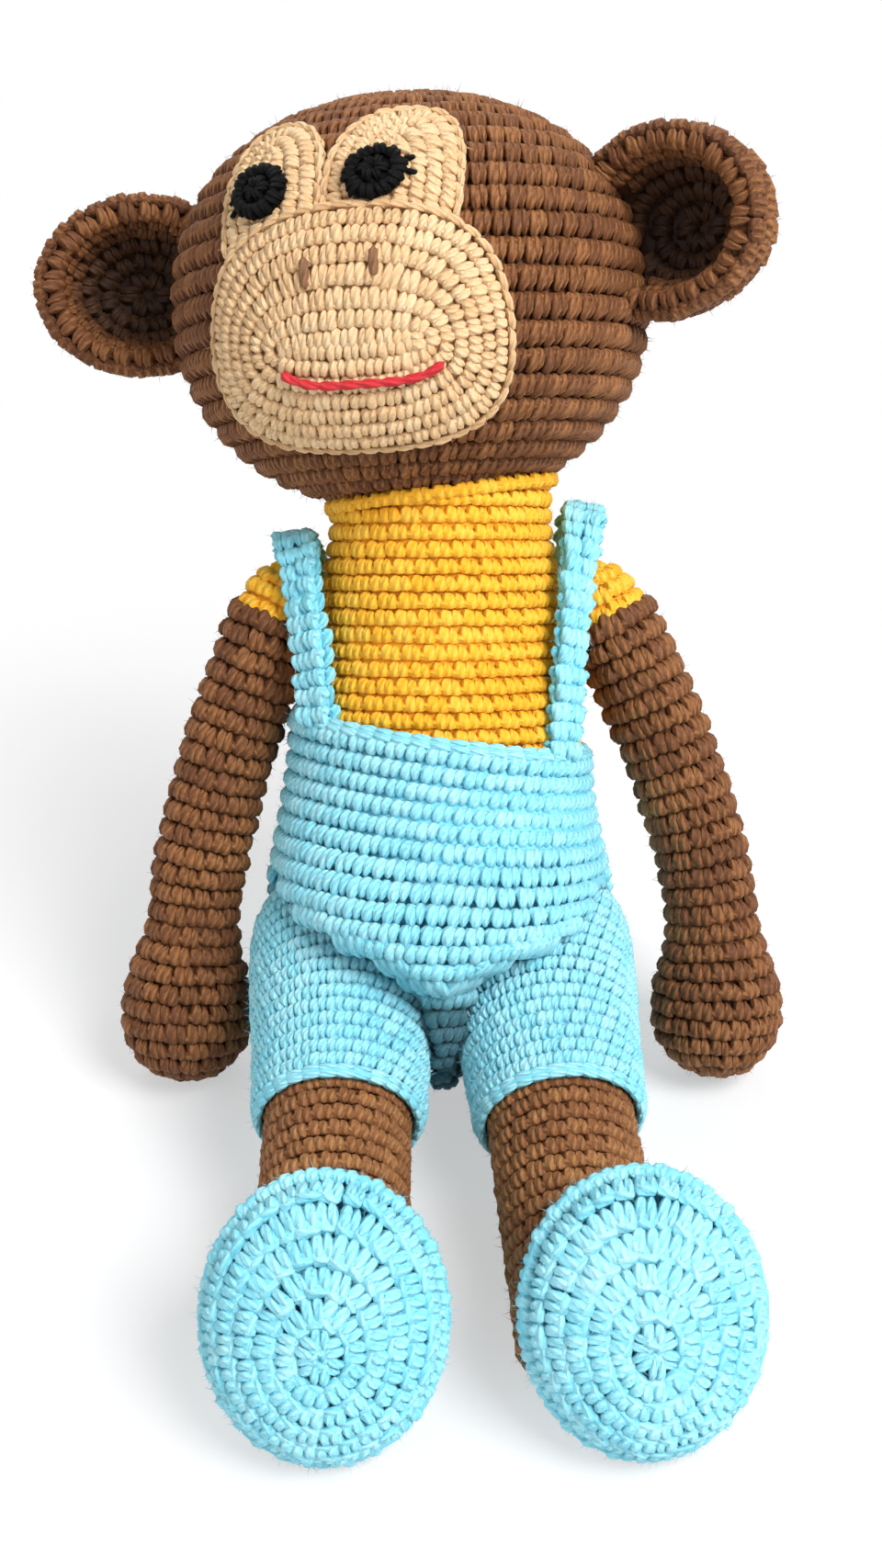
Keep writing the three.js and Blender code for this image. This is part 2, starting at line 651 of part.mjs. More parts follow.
// Middle of the arm at a distance from the shoulder.
function armPlace(limb, along) {
  const splay = radians(limb.armSplay);
  const out = along * Math.sin(splay) + limb.bow * Math.sin((Math.PI * along) / ARM_LENGTH);
  return new THREE.Vector3(limb.side * out, 0, -along * Math.cos(splay));
}

function armRadius(along, out = 0) {
  const upper = lerp(SHOULDER_BALL, ARM_RADIUS, smoothstep(along, 0, SLEEVE_LENGTH * 1.8));
  const swell = smoothstep(along, ARM_LENGTH - HAND_LENGTH, ARM_LENGTH - HAND_RADIUS * 1.2);
  const tip = ARM_LENGTH - HAND_RADIUS;
  const close = Math.max(along - tip, 0) / (HAND_RADIUS + out);
  const plain = lerp(upper, HAND_RADIUS, swell) + out;
  return plain * Math.sqrt(Math.max(1 - close ** 2, 0));
}

function armRing(limb, along, radius, count = LIMB_SIDES) {
  const middle = armPlace(limb, along);
  const step = armPlace(limb, along + 1).sub(armPlace(limb, along - 1)).normalize();
  const fore = new THREE.Vector3(0, 1, 0);
  const across = fore.clone().cross(step);
  return Array.from({ length: count }, (_, k) => {
    const angle = (2 * Math.PI * k) / count;
    return middle.clone().addScaledVector(across, radius * Math.cos(angle))
      .addScaledVector(fore, radius * Math.sin(angle));
  });
}

const handBend = (out) => range(5, 0, 1).slice(0, -1)
  .map((t) => ARM_LENGTH - HAND_RADIUS + (HAND_RADIUS + out) * Math.sin((t * Math.PI) / 2));

function armStations(from, out) {
  return [...range(7, from, ARM_LENGTH - HAND_RADIUS).slice(0, -1), ...handBend(out)];
}

function armSkin(limb) {
  const start = SLEEVE_LENGTH + SEAM_GAP;
  const rings = (out) => armStations(start, out).map((q) => armRing(limb, q, armRadius(q, out)));
  const tip = (out) => [armPlace(limb, ARM_LENGTH + out)];
  const form = loft([tip(0), ...rings(0).reverse(), ...rings(-FABRIC), tip(-FABRIC)]);
  return form.applyMatrix4(shoulderMatrix(limb.side));
}

function armStuffing(limb) {
  const out = -FABRIC - 2 * SEAM_GAP;
  const stations = armStations(SLEEVE_LENGTH * 0.3, out);
  const rings = stations.map((q) => armRing(limb, q, armRadius(q, out), FILL_SIDES));
  const form = loft([[armPlace(limb, SLEEVE_LENGTH * 0.2)], ...rings, [armPlace(limb, ARM_LENGTH + out)]]);
  return form.applyMatrix4(shoulderMatrix(limb.side));
}

// A cap with a round top, so that it clears the torso as the arm lifts.
function sleeve(limb) {
  const ball = range(4, 0, Math.PI / 2).slice(1);
  const cap = (out) => ball.map((t) => {
    const drop = -(SHOULDER_BALL + out) * Math.cos(t);
    return armRing(limb, drop, (SHOULDER_BALL + out) * Math.sin(t));
  });
  const stations = range(3, 0, SLEEVE_LENGTH).slice(1);
  const tube = (out) => stations.map((q) => armRing(limb, q, armRadius(q, out)));
  const outer = [[armPlace(limb, -SHOULDER_BALL)], ...cap(0), ...tube(0)];
  const inner = [[armPlace(limb, -SHOULDER_BALL + FABRIC)], ...cap(-FABRIC), ...tube(-FABRIC)].reverse();
  return loft([...outer, ...inner]).applyMatrix4(shoulderMatrix(limb.side));
}

// Dungarees

const TRUNK_OUT = SEAM_GAP + GARMENT;

// Everything over the slanting waist edge.
function overWaist(lift) {
  const block = new THREE.BoxGeometry(400, 400, 200);
  block.translate(0, 0, 100 + lift);
  block.rotateY(radians(WAIST_TILT));
  block.translate(0, 0, WAIST_EDGE);
  return solidOf(block.applyMatrix4(torsoMatrix));
}

function waistHeight(angle, radius) {
  return WAIST_EDGE - radius * Math.sin(angle) * Math.tan(radians(WAIST_TILT));
}

function waistEdge() {
  const points = range(25, 0, 2 * Math.PI).slice(1).map((angle) => {
    const radius = torsoRadius(WAIST_EDGE, SEAM_GAP) + YARN_RADIUS;
    const lift = (YARN_RADIUS + SEAM_GAP) / Math.cos(radians(WAIST_TILT));
    return onTorso(angle, radius, waistHeight(angle, radius) + lift);
  });
  return yarn(points, YARN_RADIUS, true).applyMatrix4(torsoMatrix);
}

// Middle of a strap: up the front, over the shoulder and down the back.
function strapPath({ side, strapOver }) {
  const foot = torsoRadius(WAIST_EDGE, SEAM_GAP) + STRAP_THICKNESS / 2 + SEAM_GAP;
  const topHeight = TORSO_LENGTH * SHOULDER_AT + SHOULDER_BALL + strapOver;
  const top = torsoRadius(topHeight, STRAP_OFF_SHOULDER);
  const stops = [-1, -0.72, -0.4, 0, 0.4, 0.72, 1].map((t) => {
    const angle = Math.PI / 2 + Math.sign(t) * Math.abs(t) ** 0.65 * radians(90 - STRAP_ANGLE);
    const radius = lerp(top, foot, Math.abs(t) ** 1.5);
    const foothold = waistHeight(side * angle, radius);
    return onTorso(side * angle, radius, lerp(foothold, topHeight, Math.cos((t * Math.PI) / 2) ** 0.8));
  });
  return new THREE.CatmullRomCurve3(stops);
}

function strap(limb) {
  const path = strapPath(limb);
  const steps = 14;
  const rings = range(steps + 1, 0, 1).map((t) => {
    const point = path.getPointAt(t);
    const along = path.getTangentAt(t);
    const out = new THREE.Vector3(point.x * 0.6, point.y, 0).normalize();
    out.lerp(new THREE.Vector3(0, 0, 1), 0.9 * Math.sin(t * Math.PI) ** 4).normalize();
    const across = out.clone().cross(along).normalize();
    const facing = along.clone().cross(across).normalize();
    return [[1, 0.5], [0.7, 1], [-0.7, 1], [-1, 0.5], [-1, -0.5], [-0.7, -1], [0.7, -1], [1, -0.5]]
      .map(([w, h]) => point.clone().addScaledVector(across, (w * STRAP_WIDTH) / 2)
        .addScaledVector(facing, (h * STRAP_THICKNESS) / 2));
  });
  const ends = [[path.getPointAt(0)], [path.getPointAt(1)]];
  const band = loft([ends[0], ...rings, ends[1]]).applyMatrix4(torsoMatrix);
  return solidOf(band).intersect(overWaist(2 * (YARN_RADIUS + SEAM_GAP)));
}

// Assembly

const sweeps = sides.map((leg) => swept(leg)).reduce((all, next) => all.add(next));
const headRoom = solidOf(headForm(SWING_GAP));
const SKIN_LEVEL = GARMENT + SEAM_GAP;
const FILL_LEVEL = SKIN_LEVEL + FABRIC;
const TORSO_TOP = TORSO_LENGTH + HEAD_HEIGHT / 4;

const torsoFilling = resting(torsoForm(-FABRIC, TORSO_TOP + 1), FILL_LEVEL);
const torsoSkin = resting(torsoForm(0, TORSO_TOP), SKIN_LEVEL)
  .subtract(torsoFilling).subtract(headRoom).subtract(sweeps);
const torsoStuffing = resting(torsoForm(-FABRIC - 2 * SEAM_GAP, TORSO_TOP), FILL_LEVEL + 2 * SEAM_GAP)
  .subtract(headRoom).subtract(sweeps);
const trunkHollow = resting(torsoForm(2 * SEAM_GAP, WAIST_EDGE + 40), GARMENT);
const trunk = resting(torsoForm(TRUNK_OUT, WAIST_EDGE + 30), 0)
  .subtract(trunkHollow).subtract(overWaist(0)).subtract(sweeps);

add('head_skin', headSkin(), BROWN);
add('head_stuffing', headStuffing(), WADDING);
add('muzzle_patch', muzzle(), BEIGE);
add('mouth_stitch', mouth(), RED);
add('torso_skin', torsoSkin, YELLOW);
add('torso_stuffing', torsoStuffing, WADDING);
add('neck_seam', neckSeam(), YELLOW);
add('dungarees_trunk', trunk, BLUE);
add('waist_edge', waistEdge(), BLUE);

for (const leg of sides) {
  const { side, name } = leg;
  const shoeRoom = solidOf(shoeForm(leg, SEAM_GAP));
  const legFilling = solidOf(legForm(leg, -FABRIC, LEG_END + 1));
  add(`eye_patch_${name}`, eyePatch(leg), BEIGE);
  add(`pupil_${name}`, pupil(side), BLACK);
  add(`nostril_stitch_${name}`, nostril(side), DARK_BROWN);
  add(`ear_${name}`, ear(leg), BROWN);
  add(`sleeve_${name}`, sleeve(leg), YELLOW);
  add(`arm_skin_${name}`, armSkin(leg), BROWN);
  add(`arm_stuffing_${name}`, armStuffing(leg), WADDING);
  add(`strap_${name}`, strap(leg), BLUE);
  add(`trouser_leg_${name}`, trouserLeg(leg), BLUE);
  add(`cuff_edge_${name}`, cuffEdge(leg), BLUE);
  add(`leg_skin_${name}`, solidOf(legForm(leg, 0)).subtract(legFilling).subtract(shoeRoom), BROWN);
  add(`leg_stuffing_${name}`, solidOf(legForm(leg, -FABRIC - 2 * SEAM_GAP)).subtract(shoeRoom), WADDING);
  add(`shoe_upper_${name}`, shoeUpper(leg), BLUE);
  add(`shoe_sole_${name}`, shoeSole(leg), BLUE);
  add(`sole_ridge_${name}`, soleRidge(leg), BLUE);
  add(`shoe_stuffing_${name}`, shoeStuffing(leg), WADDING);
}

export default group;
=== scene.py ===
"""A crocheted monkey in dungarees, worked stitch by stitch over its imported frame."""

import logging
import math
from dataclasses import dataclass, field, replace
from enum import Enum
from typing import Any, Callable, ClassVar, Mapping, Optional, Sequence, Union

import bmesh
import bpy
import numpy as np
from mathutils import Matrix, Vector


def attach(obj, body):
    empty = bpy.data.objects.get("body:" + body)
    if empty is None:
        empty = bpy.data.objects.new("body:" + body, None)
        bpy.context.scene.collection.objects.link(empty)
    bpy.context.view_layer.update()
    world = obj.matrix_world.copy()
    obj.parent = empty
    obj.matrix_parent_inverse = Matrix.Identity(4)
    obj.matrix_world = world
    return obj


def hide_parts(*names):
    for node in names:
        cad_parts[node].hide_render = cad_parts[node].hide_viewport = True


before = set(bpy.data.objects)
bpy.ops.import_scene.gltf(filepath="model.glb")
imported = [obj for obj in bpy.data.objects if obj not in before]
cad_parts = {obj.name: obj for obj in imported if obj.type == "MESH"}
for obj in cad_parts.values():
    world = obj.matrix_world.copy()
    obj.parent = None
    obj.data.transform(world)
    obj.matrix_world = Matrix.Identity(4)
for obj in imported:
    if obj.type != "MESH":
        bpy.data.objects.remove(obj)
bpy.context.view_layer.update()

LOG = logging.getLogger("crocheted_monkey")
Array = np.ndarray
Number = Union[float, Array]
Warp = Callable[[Array], Array]
Pair = tuple[float, float]
Spot = tuple[float, float, float]
Colour = tuple[float, float, float, float]
Piece = bpy.types.Object
Mesh = bpy.types.Mesh
Net = bmesh.types.BMesh

MM = 0.001
ROUND = 2 * math.pi
# Names of the data that a piece's mesh carries
YARN_UV = "yarn"
TINT = "tint"
SHADE = "shade"
# Data of a stitch's place that the stitch is laid by
LAY_DATA = ("facing", "along", "wide", "tall")
# Lowest height of any piece, in millimetres
GROUND = 0.1


class Side(Enum):
    """The toy's own left and right; the value is the sign of X."""

    LEFT = 1
    RIGHT = -1

    @property
    def tag(self) -> str:
        """Ending of the names of this side's nodes and pieces."""
        return self.name.lower()

    def of(self, pair: tuple[Any, Any]) -> Any:
        """This side's half of a pair of left and right."""
        return pair[0] if self is Side.LEFT else pair[1]


class Tip(Enum):
    """The end of a row's run that the V of a stitch points to."""

    START = 1
    END = -1


def smooth(value: Number, low: float, high: float) -> Number:
    """Rises smoothly from 0 at low to 1 at high."""
    share = np.clip((value - low) / (high - low), 0, 1)
    return share * share * (3 - 2 * share)


def mix(first: Any, second: Any, share: Any) -> Any:
    """First at share 0, second at share 1."""
    return first + (second - first) * share


def unit(vectors: Array) -> Array:
    """Vectors of length 1."""
    return vectors / np.maximum(np.linalg.norm(vectors, axis=-1, keepdims=True), 1e-9)


def power(value: Array, exponent: float) -> Array:
    """A power that keeps the sign."""
    return np.sign(value) * np.abs(value) ** exponent


def shift(x: float, y: float, z: float) -> Array:
    """Matrix of a move."""
    return np.array(Matrix.Translation((x, y, z)))


def turned(axis: str, degrees: float) -> Array:
    """Matrix of a turn about an axis of the frame."""
    return np.array(Matrix.Rotation(math.radians(degrees), 4, axis))


def moved(matrix: Array, points: Array) -> Array:
    """Points under a matrix."""
    return points @ matrix[:3, :3].T + matrix[:3, 3]


def within(matrix: Array, points: Array) -> Array:
    """Points of the frame as a placed form sees them."""
    return moved(np.linalg.inv(matrix), points)


def circle(count: int) -> Array:
    """Angles that lie evenly round a circle."""
    return np.linspace(0, ROUND, count + 1)[:-1]


def columns(*parts: Number) -> Array:
    """Rows of the given values, one value from each part."""
    return np.stack(np.broadcast_arrays(*parts), axis=-1)


def polar(radius: Number, angle: Number, height: Number) -> Array:
    """Points round +Z; angle 0 is at the front."""
    return columns(radius * np.sin(angle), -radius * np.cos(angle), height)


def spans(points: Array) -> Array:
    """Distances along a line, from its first point to each of its points."""
    return np.concatenate([[0], np.cumsum(np.linalg.norm(np.diff(points, axis=0), axis=1))])


def read_along(spots: Array, lengths: Array, values: Array) -> Array:
    """Values at spots along a line, between the values at its points."""
    return np.stack([np.interp(spots, lengths, column) for column in values.T], axis=1)


def linear(code: str, share: float = 1.0) -> Colour:
    """Scene-linear colour of a hexadecimal sRGB code.

    Args:
        code: six digits.
        share: of its light that is kept.

    Returns:
        Red, green, blue and an alpha of 1.
    """
    parts = [int(code[i:i + 2], 16) / 255 for i in (0, 2, 4)]
    lights = [c / 12.92 if c <= 0.04045 else ((c + 0.055) / 1.055) ** 2.4 for c in parts]
    red, green, blue = (share * light for light in lights)
    return (red, green, blue, 1.0)


def placed(name: str, data: Any) -> Piece:
    """A new object in the scene."""
    made = bpy.data.objects.new(name, data)
    bpy.context.scene.collection.objects.link(made)
    return made


def plain_mesh(net: Net, name: str) -> Mesh:
    """Turns a net into a mesh and frees the net."""
    mesh = bpy.data.meshes.new(name)
    net.to_mesh(mesh)
    net.free()
    return mesh


# Along +Y, and along -Y, for forms that are turned about +Z
TO_REAR = np.array([[1, 0, 0, 0], [0, 0, 1, 0], [0, -1, 0, 0], [0, 0, 0, 1]], float)
TO_FRONT = np.array([[1, 0, 0, 0], [0, 0, -1, 0], [0, 1, 0, 0], [0, 0, 0, 1]], float)


class Wire:
    """An output socket that takes part in sums and products."""

    def __init__(self, graph: "Graph", socket: Optional[bpy.types.NodeSocket]) -> None:
        """Keeps the graph that the socket is in."""
        self.graph = graph
        self.socket = socket

    def also(self, output: Union[int, str]) -> "Wire":
        """Another output of the same node."""
        return Wire(self.graph, self.socket.node.outputs[output])

    def _maths(self, operation: str, first: Any, second: Any) -> "Wire":
        """A Math node on two values."""
        return self.graph.node("ShaderNodeMath", {"operation": operation}, {0: first, 1: second})

    def __add__(self, other: Any) -> "Wire":
        """The sum."""
        return self._maths("ADD", self, other)

    __radd__ = __add__

    def __rsub__(self, other: Any) -> "Wire":
        """The difference from a number."""
        return self._maths("SUBTRACT", other, self)

    def __mul__(self, other: Any) -> "Wire":
        """The product."""
        return self._maths("MULTIPLY", self, other)

    __rmul__ = __mul__

    def sine(self) -> "Wire":
        """The sine."""
        return self._maths("SINE", self, 0.0)


class Graph:
    """A node tree that is written node by node."""

    def __init__(self, tree: bpy.types.NodeTree) -> None:
        """Starts from an empty tree."""
        self.tree = tree
        tree.nodes.clear()

    def node(
        self, kind: str, settings: Optional[Mapping[str, Any]] = None,
        inputs: Optional[Mapping[Any, Any]] = None, output: Union[int, str] = 0,
    ) -> Wire:
        """Adds a node.

        Args:
            kind: the node's type.
            settings: its properties; "stops" are a ramp's positions and colours.
            inputs: values, wires or lists of wires by socket name or number.
            output: the socket that is handed on.

        Returns:
            The wire of that output.
        """
        node = self.tree.nodes.new(kind)
        for name, value in (settings or {}).items():
            if name == "stops":
                self._ramp(node.color_ramp, value)
            else:
                setattr(node, name, value)
        for key, value in (inputs or {}).items():
            wires = value if isinstance(value, list) else [value]
            for wire in wires:
                if isinstance(wire, Wire):
                    self.tree.links.new(wire.socket, node.inputs[key])
                else:
                    node.inputs[key].default_value = wire
        return Wire(self, node.outputs[output] if node.outputs else None)

    @staticmethod
    def _ramp(ramp: bpy.types.ColorRamp, stops: Sequence[tuple[float, Any]]) -> None:
        """Sets a colour ramp's stops.

        Args:
            ramp: the ramp.
            stops: positions and colours.
        """
        while len(ramp.elements) < len(stops):
            ramp.elements.new(0.5)
        for element, (position, colour) in zip(ramp.elements, stops):
            element.position = position
            element.color = colour


def painted(name: str, paint: Callable[[Graph], Wire]) -> bpy.types.Material:
    """The material of a name; it is made when it is first asked for.

    Args:
        name: the material's name.
        paint: writes its nodes and gives its shader.

    Returns:
        The material.
    """
    made = bpy.data.materials.get(name)
    if made is None:
        made = bpy.data.materials.new(name)
        made.use_nodes = True
        graph = Graph(made.node_tree)
        graph.node("ShaderNodeOutputMaterial", inputs={"Surface": paint(graph)})
    return made


@dataclass(frozen=True)
class YarnFinish:
    """A yarn: its colours from groove to crest, partly painted shade and painted highlight, and how it takes
    light.
    """

    name: str
    slot: str
    groove: str
    body: str
    crest: str
    sheen: float = 0.25
    sheen_rough: float = 0.5
    gloss: float = 0.4
    lining_gloss: float = 0.15
    fuzz: float = 40000.0
    plies: float = 4.0
    twist: float = 1.3
    relief: float = 0.0006
    # How the fibre's streaks run: round the yarn, slanting, along it, and from stitch to stitch
    streaks: tuple[float, float, float, float] = (26.0, 9.0, 5.0, 31.0)
    dye_scale: float = 42.0
    lining_scale: float = 700.0
    # What crest (painted highlight atop each lobe, shade at its sides), ply (painted shade in its grooves),
    # fibre, tint and dye add to the tone, and the tone without them
    tones: tuple[float, float, float, float, float] = (0.1, 0.14, 0.46, 0.14, 0.22)
    least_tone: float = 0.04
    stops: tuple[float, float, float] = (0.2, 0.56, 0.95)
    # Light that the painted shade keeps: deep in a hollow, and in the lining's dark and pale fibres
    deep: float = 0.13
    lining_dark: float = 0.2
    lining_pale: float = 0.7

    def material(self) -> bpy.types.Material:
        """The finish of the stitches."""
        return painted(self.name, self._yarn)

    def lining(self) -> bpy.types.Material:
        """The finish of the fabric's depth, seen between the stitches, darkened as painted shade."""
        return painted(self.name + "_depth", self._depth)

    def _yarn(self, graph: Graph) -> Wire:
        """Yarn with plies, fibres and uneven dye, and painted light and shade on its lobes and plies.

        Args:
            graph: the material's nodes.

        Returns:
            The shader.
        """
        uv = graph.node("ShaderNodeUVMap", {"uv_map": YARN_UV})
        around = graph.node("ShaderNodeSeparateXYZ", inputs={0: uv}, output="X")
        length = around.also("Y")
        tint = graph.node("ShaderNodeAttribute", {"attribute_name": TINT}, output="Fac")
        # Painted shade: the tone darkens in the plies' grooves, which also get a bump
        ply = ((around * self.plies + length * self.twist) * ROUND).sine() * 0.5 + 0.5
        fine, slant, long, change = self.streaks
        strand = graph.node("ShaderNodeCombineXYZ", inputs={
            0: around * fine + length * slant, 1: length * long, 2: tint * change})
        fibre = graph.node("ShaderNodeTexNoise", inputs={"Vector": strand, "Scale": 1.0, "Detail": 2.0})
        place = graph.node("ShaderNodeTexCoord", output="Object")
        dye = graph.node("ShaderNodeTexNoise", inputs={
            "Vector": place, "Scale": self.dye_scale, "Detail": 2.0})
        # Painted light: the tone is lighter on top of each lobe and darker at its sides
        crest = (around * ROUND).sine()
        tone = sum((part * share for part, share in zip((crest, ply, fibre, tint, dye), self.tones)),
                   self.least_tone)
        colours = (linear(code) for code in (self.groove, self.body, self.crest))
        colour = graph.node("ShaderNodeValToRGB", {"stops": tuple(zip(self.stops, colours))}, {0: tone})
        relief = graph.node("ShaderNodeBump", inputs={
            "Height": ply * 0.6 + fibre * 0.55, "Strength": 0.8, "Distance": self.relief})
        return graph.node("ShaderNodeBsdfPrincipled", inputs={
            "Base Color": self._in_shade(graph, colour), "Roughness": 0.86 - fibre * 0.32, "Normal": relief,
            "Sheen Weight": self.sheen, "Sheen Roughness": self.sheen_rough,
            "Sheen Tint": linear(self.crest), "Specular IOR Level": self.gloss})

    def _depth(self, graph: Graph) -> Wire:
        """Dull fibres in the groove colour, dimmed as painted shade between the stitches.

        Args:
            graph: the material's nodes.

        Returns:
            The shader.
        """
        place = graph.node("ShaderNodeTexCoord", output="Object")
        fibre = graph.node("ShaderNodeTexNoise", inputs={
            "Vector": place, "Scale": self.lining_scale, "Detail": 3.0})
        colour = graph.node("ShaderNodeValToRGB", {"stops": (
            (0.3, linear(self.groove, self.lining_dark)), (0.75, linear(self.groove, self.lining_pale)))},
            {0: fibre})
        relief = graph.node("ShaderNodeBump", inputs={
            "Height": fibre, "Strength": 0.7, "Distance": self.relief})
        return graph.node("ShaderNodeBsdfPrincipled", inputs={
            "Base Color": self._in_shade(graph, colour), "Roughness": 0.8 + fibre * 0.2, "Normal": relief,
            "Specular IOR Level": self.lining_gloss})

    def _in_shade(self, graph: Graph, colour: Wire) -> Wire:
        """A colour, darkened with painted shade where the piece says that it lies deep in a hollow."""
        shade = graph.node("ShaderNodeAttribute", {"attribute_name": SHADE}, output="Fac")
        return graph.node("ShaderNodeMix", {"data_type": "RGBA"}, {
            0: shade, 6: colour, 7: linear(self.groove, self.deep)}, 2)


BROWN = YarnFinish("brown_wool", "brown_yarn", "2f1205", "693d1d", "b87e48", sheen=0.18, fuzz=65000.0)
# A lighter copy of the brown yarn for the shins: painted light where more light falls on them
PAINTED_LIGHT_BROWN = replace(BROWN, name="worn_brown_wool", groove="4a2610", body="84532d", crest="c59059")
BEIGE = YarnFinish("beige_wool", "beige_yarn", "b98755", "e2bb8b", "f7e0b9")
YELLOW = YarnFinish("yellow_wool", "yellow_yarn", "d07c02", "fbb722", "ffd95e")
BLUE = YarnFinish("blue_wool", "blue_yarn", "2fabc9", "8fe0f0", "cdf4fb", fuzz=100000.0)
FLUFFY_BLUE = replace(BLUE, name="fluffy_blue_wool", fuzz=300000.0)
BLACK = YarnFinish("black_wool", "black_yarn", "000000", "040404", "0f0e0d", sheen=0.0, gloss=0.12)
RED = YarnFinish("red_wool", "red_yarn", "8e1218", "d02a32", "ee5a5c")
DARK = YarnFinish("dark_brown_wool", "dark_brown_yarn", "5a3a22", "8a6242", "b0865c")


@dataclass
class Stitches:
    """Where stitches go: their places, their axes and their sizes, in millimetres."""

    place: Array
    facing: Array
    along: Array
    wide: Array
    tall: Array

    def where(self, keep: Array) -> "Stitches":
        """Only the stitches that a mask keeps."""
        return Stitches(*(getattr(self, name)[keep] for name in ("place",) + LAY_DATA))

    def sunk(self, distance: float) -> "Stitches":
        """The stitches moved into the surface by a distance."""
        return replace(self, place=self.place - self.facing * distance)


@dataclass(frozen=True)
class Lobe:
    """A bulge of yarn in a stitch, from its foot to its head, in shares of the stitch's sizes."""

    FOOT_BLUNT: ClassVar[int] = 6
    HEAD_BLUNT: ClassVar[int] = 3

    foot: Pair
    head: Pair
    root: float
    crown: float
    lift: float = 1.0
    dip: float = 1.0

    def fullest(self, share: float) -> float:
        """Half the width without its round ends, from -1 at the foot to 1 at the head."""
        return mix(self.root, self.crown, (share + 1) / 2)

    def rounding(self, share: float) -> float:
        """Share of the width that its round ends leave."""
        blunt = self.FOOT_BLUNT if share < 0 else self.HEAD_BLUNT
        return math.sqrt(max(1 - abs(share) ** blunt, 0))


class Shape(Enum):
    """How the lobes of a stitch lie: a band joins their feet, and they part at their heads."""

    VEE = (
        Lobe((0.02, -0.5), (-0.19, 0.48), 0.36, 0.31),
        Lobe((0.42, -0.5), (0.24, 0.4), 0.36, 0.19, 0.94),
        Lobe((-0.6, -0.2), (0.6, -0.2), 0.26, 0.26, 0.3, 0.0))
    TOOTH = (
        Lobe((0.12, -0.48), (0.19, 0.48), 0.36, 0.32),
        Lobe((-0.34, -0.48), (-0.26, 0.4), 0.35, 0.2, 0.94),
        Lobe((-0.6, -0.2), (0.6, -0.2), 0.28, 0.28, 0.35, 0.0))
    PLUMP = (
        Lobe((-0.2, -0.5), (-0.27, 0.44), 0.33, 0.3),
        Lobe((0.3, -0.5), (0.24, 0.38), 0.33, 0.24, 0.95),
        Lobe((-0.6, -0.35), (0.6, -0.35), 0.3, 0.3, 0.36, 0.0))
    CHAIN = (
        Lobe((-0.23, -0.5), (-0.27, 0.5), 0.32, 0.32),
        Lobe((0.25, -0.5), (0.25, 0.5), 0.32, 0.32, 0.92))


@dataclass(frozen=True)
class Gauge:
    """How a fabric is worked, in millimetres and degrees; shingle lifts the rows' starting edges."""

    pitch: float
    width: float
    depth: float = 1.5
    overlap: float = 1.08
    fewest: int = 6
    uneven: float = 0.1
    shape: Shape = Shape.VEE
    shingle: float = 0.0
    drift: float = 0.17


class Form:
    """A surface that rows run round: run goes from row to row, turn goes along a row."""

    RING_POINTS = 145
    # Small steps of run and turn that a slope is measured over
    RUN_STEP = 0.05
    TURN_STEP = 0.004

    outward: int = 1
    seam: float = 0.0

    def at(self, run: Array, turn: Array) -> Array:
        """Points of the surface."""
        raise NotImplementedError

    def worked(self, gauge: Gauge, start: float, end: float, tip: Tip) -> Stitches:
        """Lays rounds of stitches, each starting at the seam.

        Args:
            gauge: the size of the rows and stitches.
            start: run of the first row's near edge.
            end: run of the last row's far edge.
            tip: the end that the V of each stitch points to.

        Returns:
            The stitches, row after row.
        """
        rows = max(1, round((end - start) / gauge.pitch))
        step = (end - start) / rows
        loop = np.linspace(0, ROUND, self.RING_POINTS) + self.seam
        runs, turns, widths = [], [], []
        for row in range(rows):
            run = start + (row + 0.5) * step
            lengths = spans(self.at(np.full(loop.shape, run), loop))
            count = max(gauge.fewest, round(lengths[-1] / gauge.width))
            share = (np.arange(count) + gauge.drift * row) / count % 1
            turns.append(np.interp(share * lengths[-1], lengths, loop))
            runs.append(np.full(count, run))
            widths.append(np.full(count, lengths[-1] / count))
        flat = self.laid(np.concatenate(runs), np.concatenate(turns), math.radians(gauge.shingle), tip)
        return replace(flat, wide=np.concatenate(widths), tall=flat.tall * step * gauge.overlap)

    def laid(self, run: Array, turn: Array, shingle: float, tip: Tip) -> Stitches:
        """Stitches at given runs and turns.

        Args:
            run: of each stitch.
            turn: of each stitch.
            shingle: angle that the starting edges are lifted by, in radians.
            tip: the end that the V of each stitch points to.

        Returns:
            Stitches 1 wide, and as tall as the surface is long for a run of 1.
        """
        along = unit(self.at(run, turn + self.TURN_STEP) - self.at(run, turn - self.TURN_STEP))
        climb = self.at(run + self.RUN_STEP, turn) - self.at(run - self.RUN_STEP, turn)
        tall = np.linalg.norm(climb, axis=-1) / (2 * self.RUN_STEP)
        climb = unit(climb)
        facing = unit(unit(np.cross(along, climb)) * self.outward + climb * math.tan(shingle))
        along = along * tip.value * self.outward
        return Stitches(self.at(run, turn), facing, along, np.ones(len(run)), tall)


@dataclass
class Lathed(Form):
    """A form turned about +Z from a profile of radius and height, then placed."""

    profile: Array
    matrix: Array
    stretch: Pair = (1.0, 1.0)
    warp: Optional[Warp] = None
    outward: int = 1
    seam: float = math.pi
    runs: Array = field(init=False)

    def __post_init__(self) -> None:
        """Measures the profile."""
        self.runs = spans(self.profile)

    @property
    def length(self) -> float:
        """Length of the profile."""
        return float(self.runs[-1])

    def run_at(self, height: float) -> float:
        """Run at which a rising profile has a height."""
        return float(np.interp(height, self.profile[:, 1], self.runs))

    def at(self, run: Array, turn: Array) -> Array:
        """Points of the surface.

        Args:
            run: from row to row.
            turn: along a row.

        Returns:
            One point for each.
        """
        radius = np.interp(run, self.runs, self.profile[:, 0])
        height = np.interp(run, self.runs, self.profile[:, 1])
        local = polar(radius, turn, height) * np.array([*self.stretch, 1.0])
        if self.warp:
            local = self.warp(local)
        return moved(self.matrix, local)


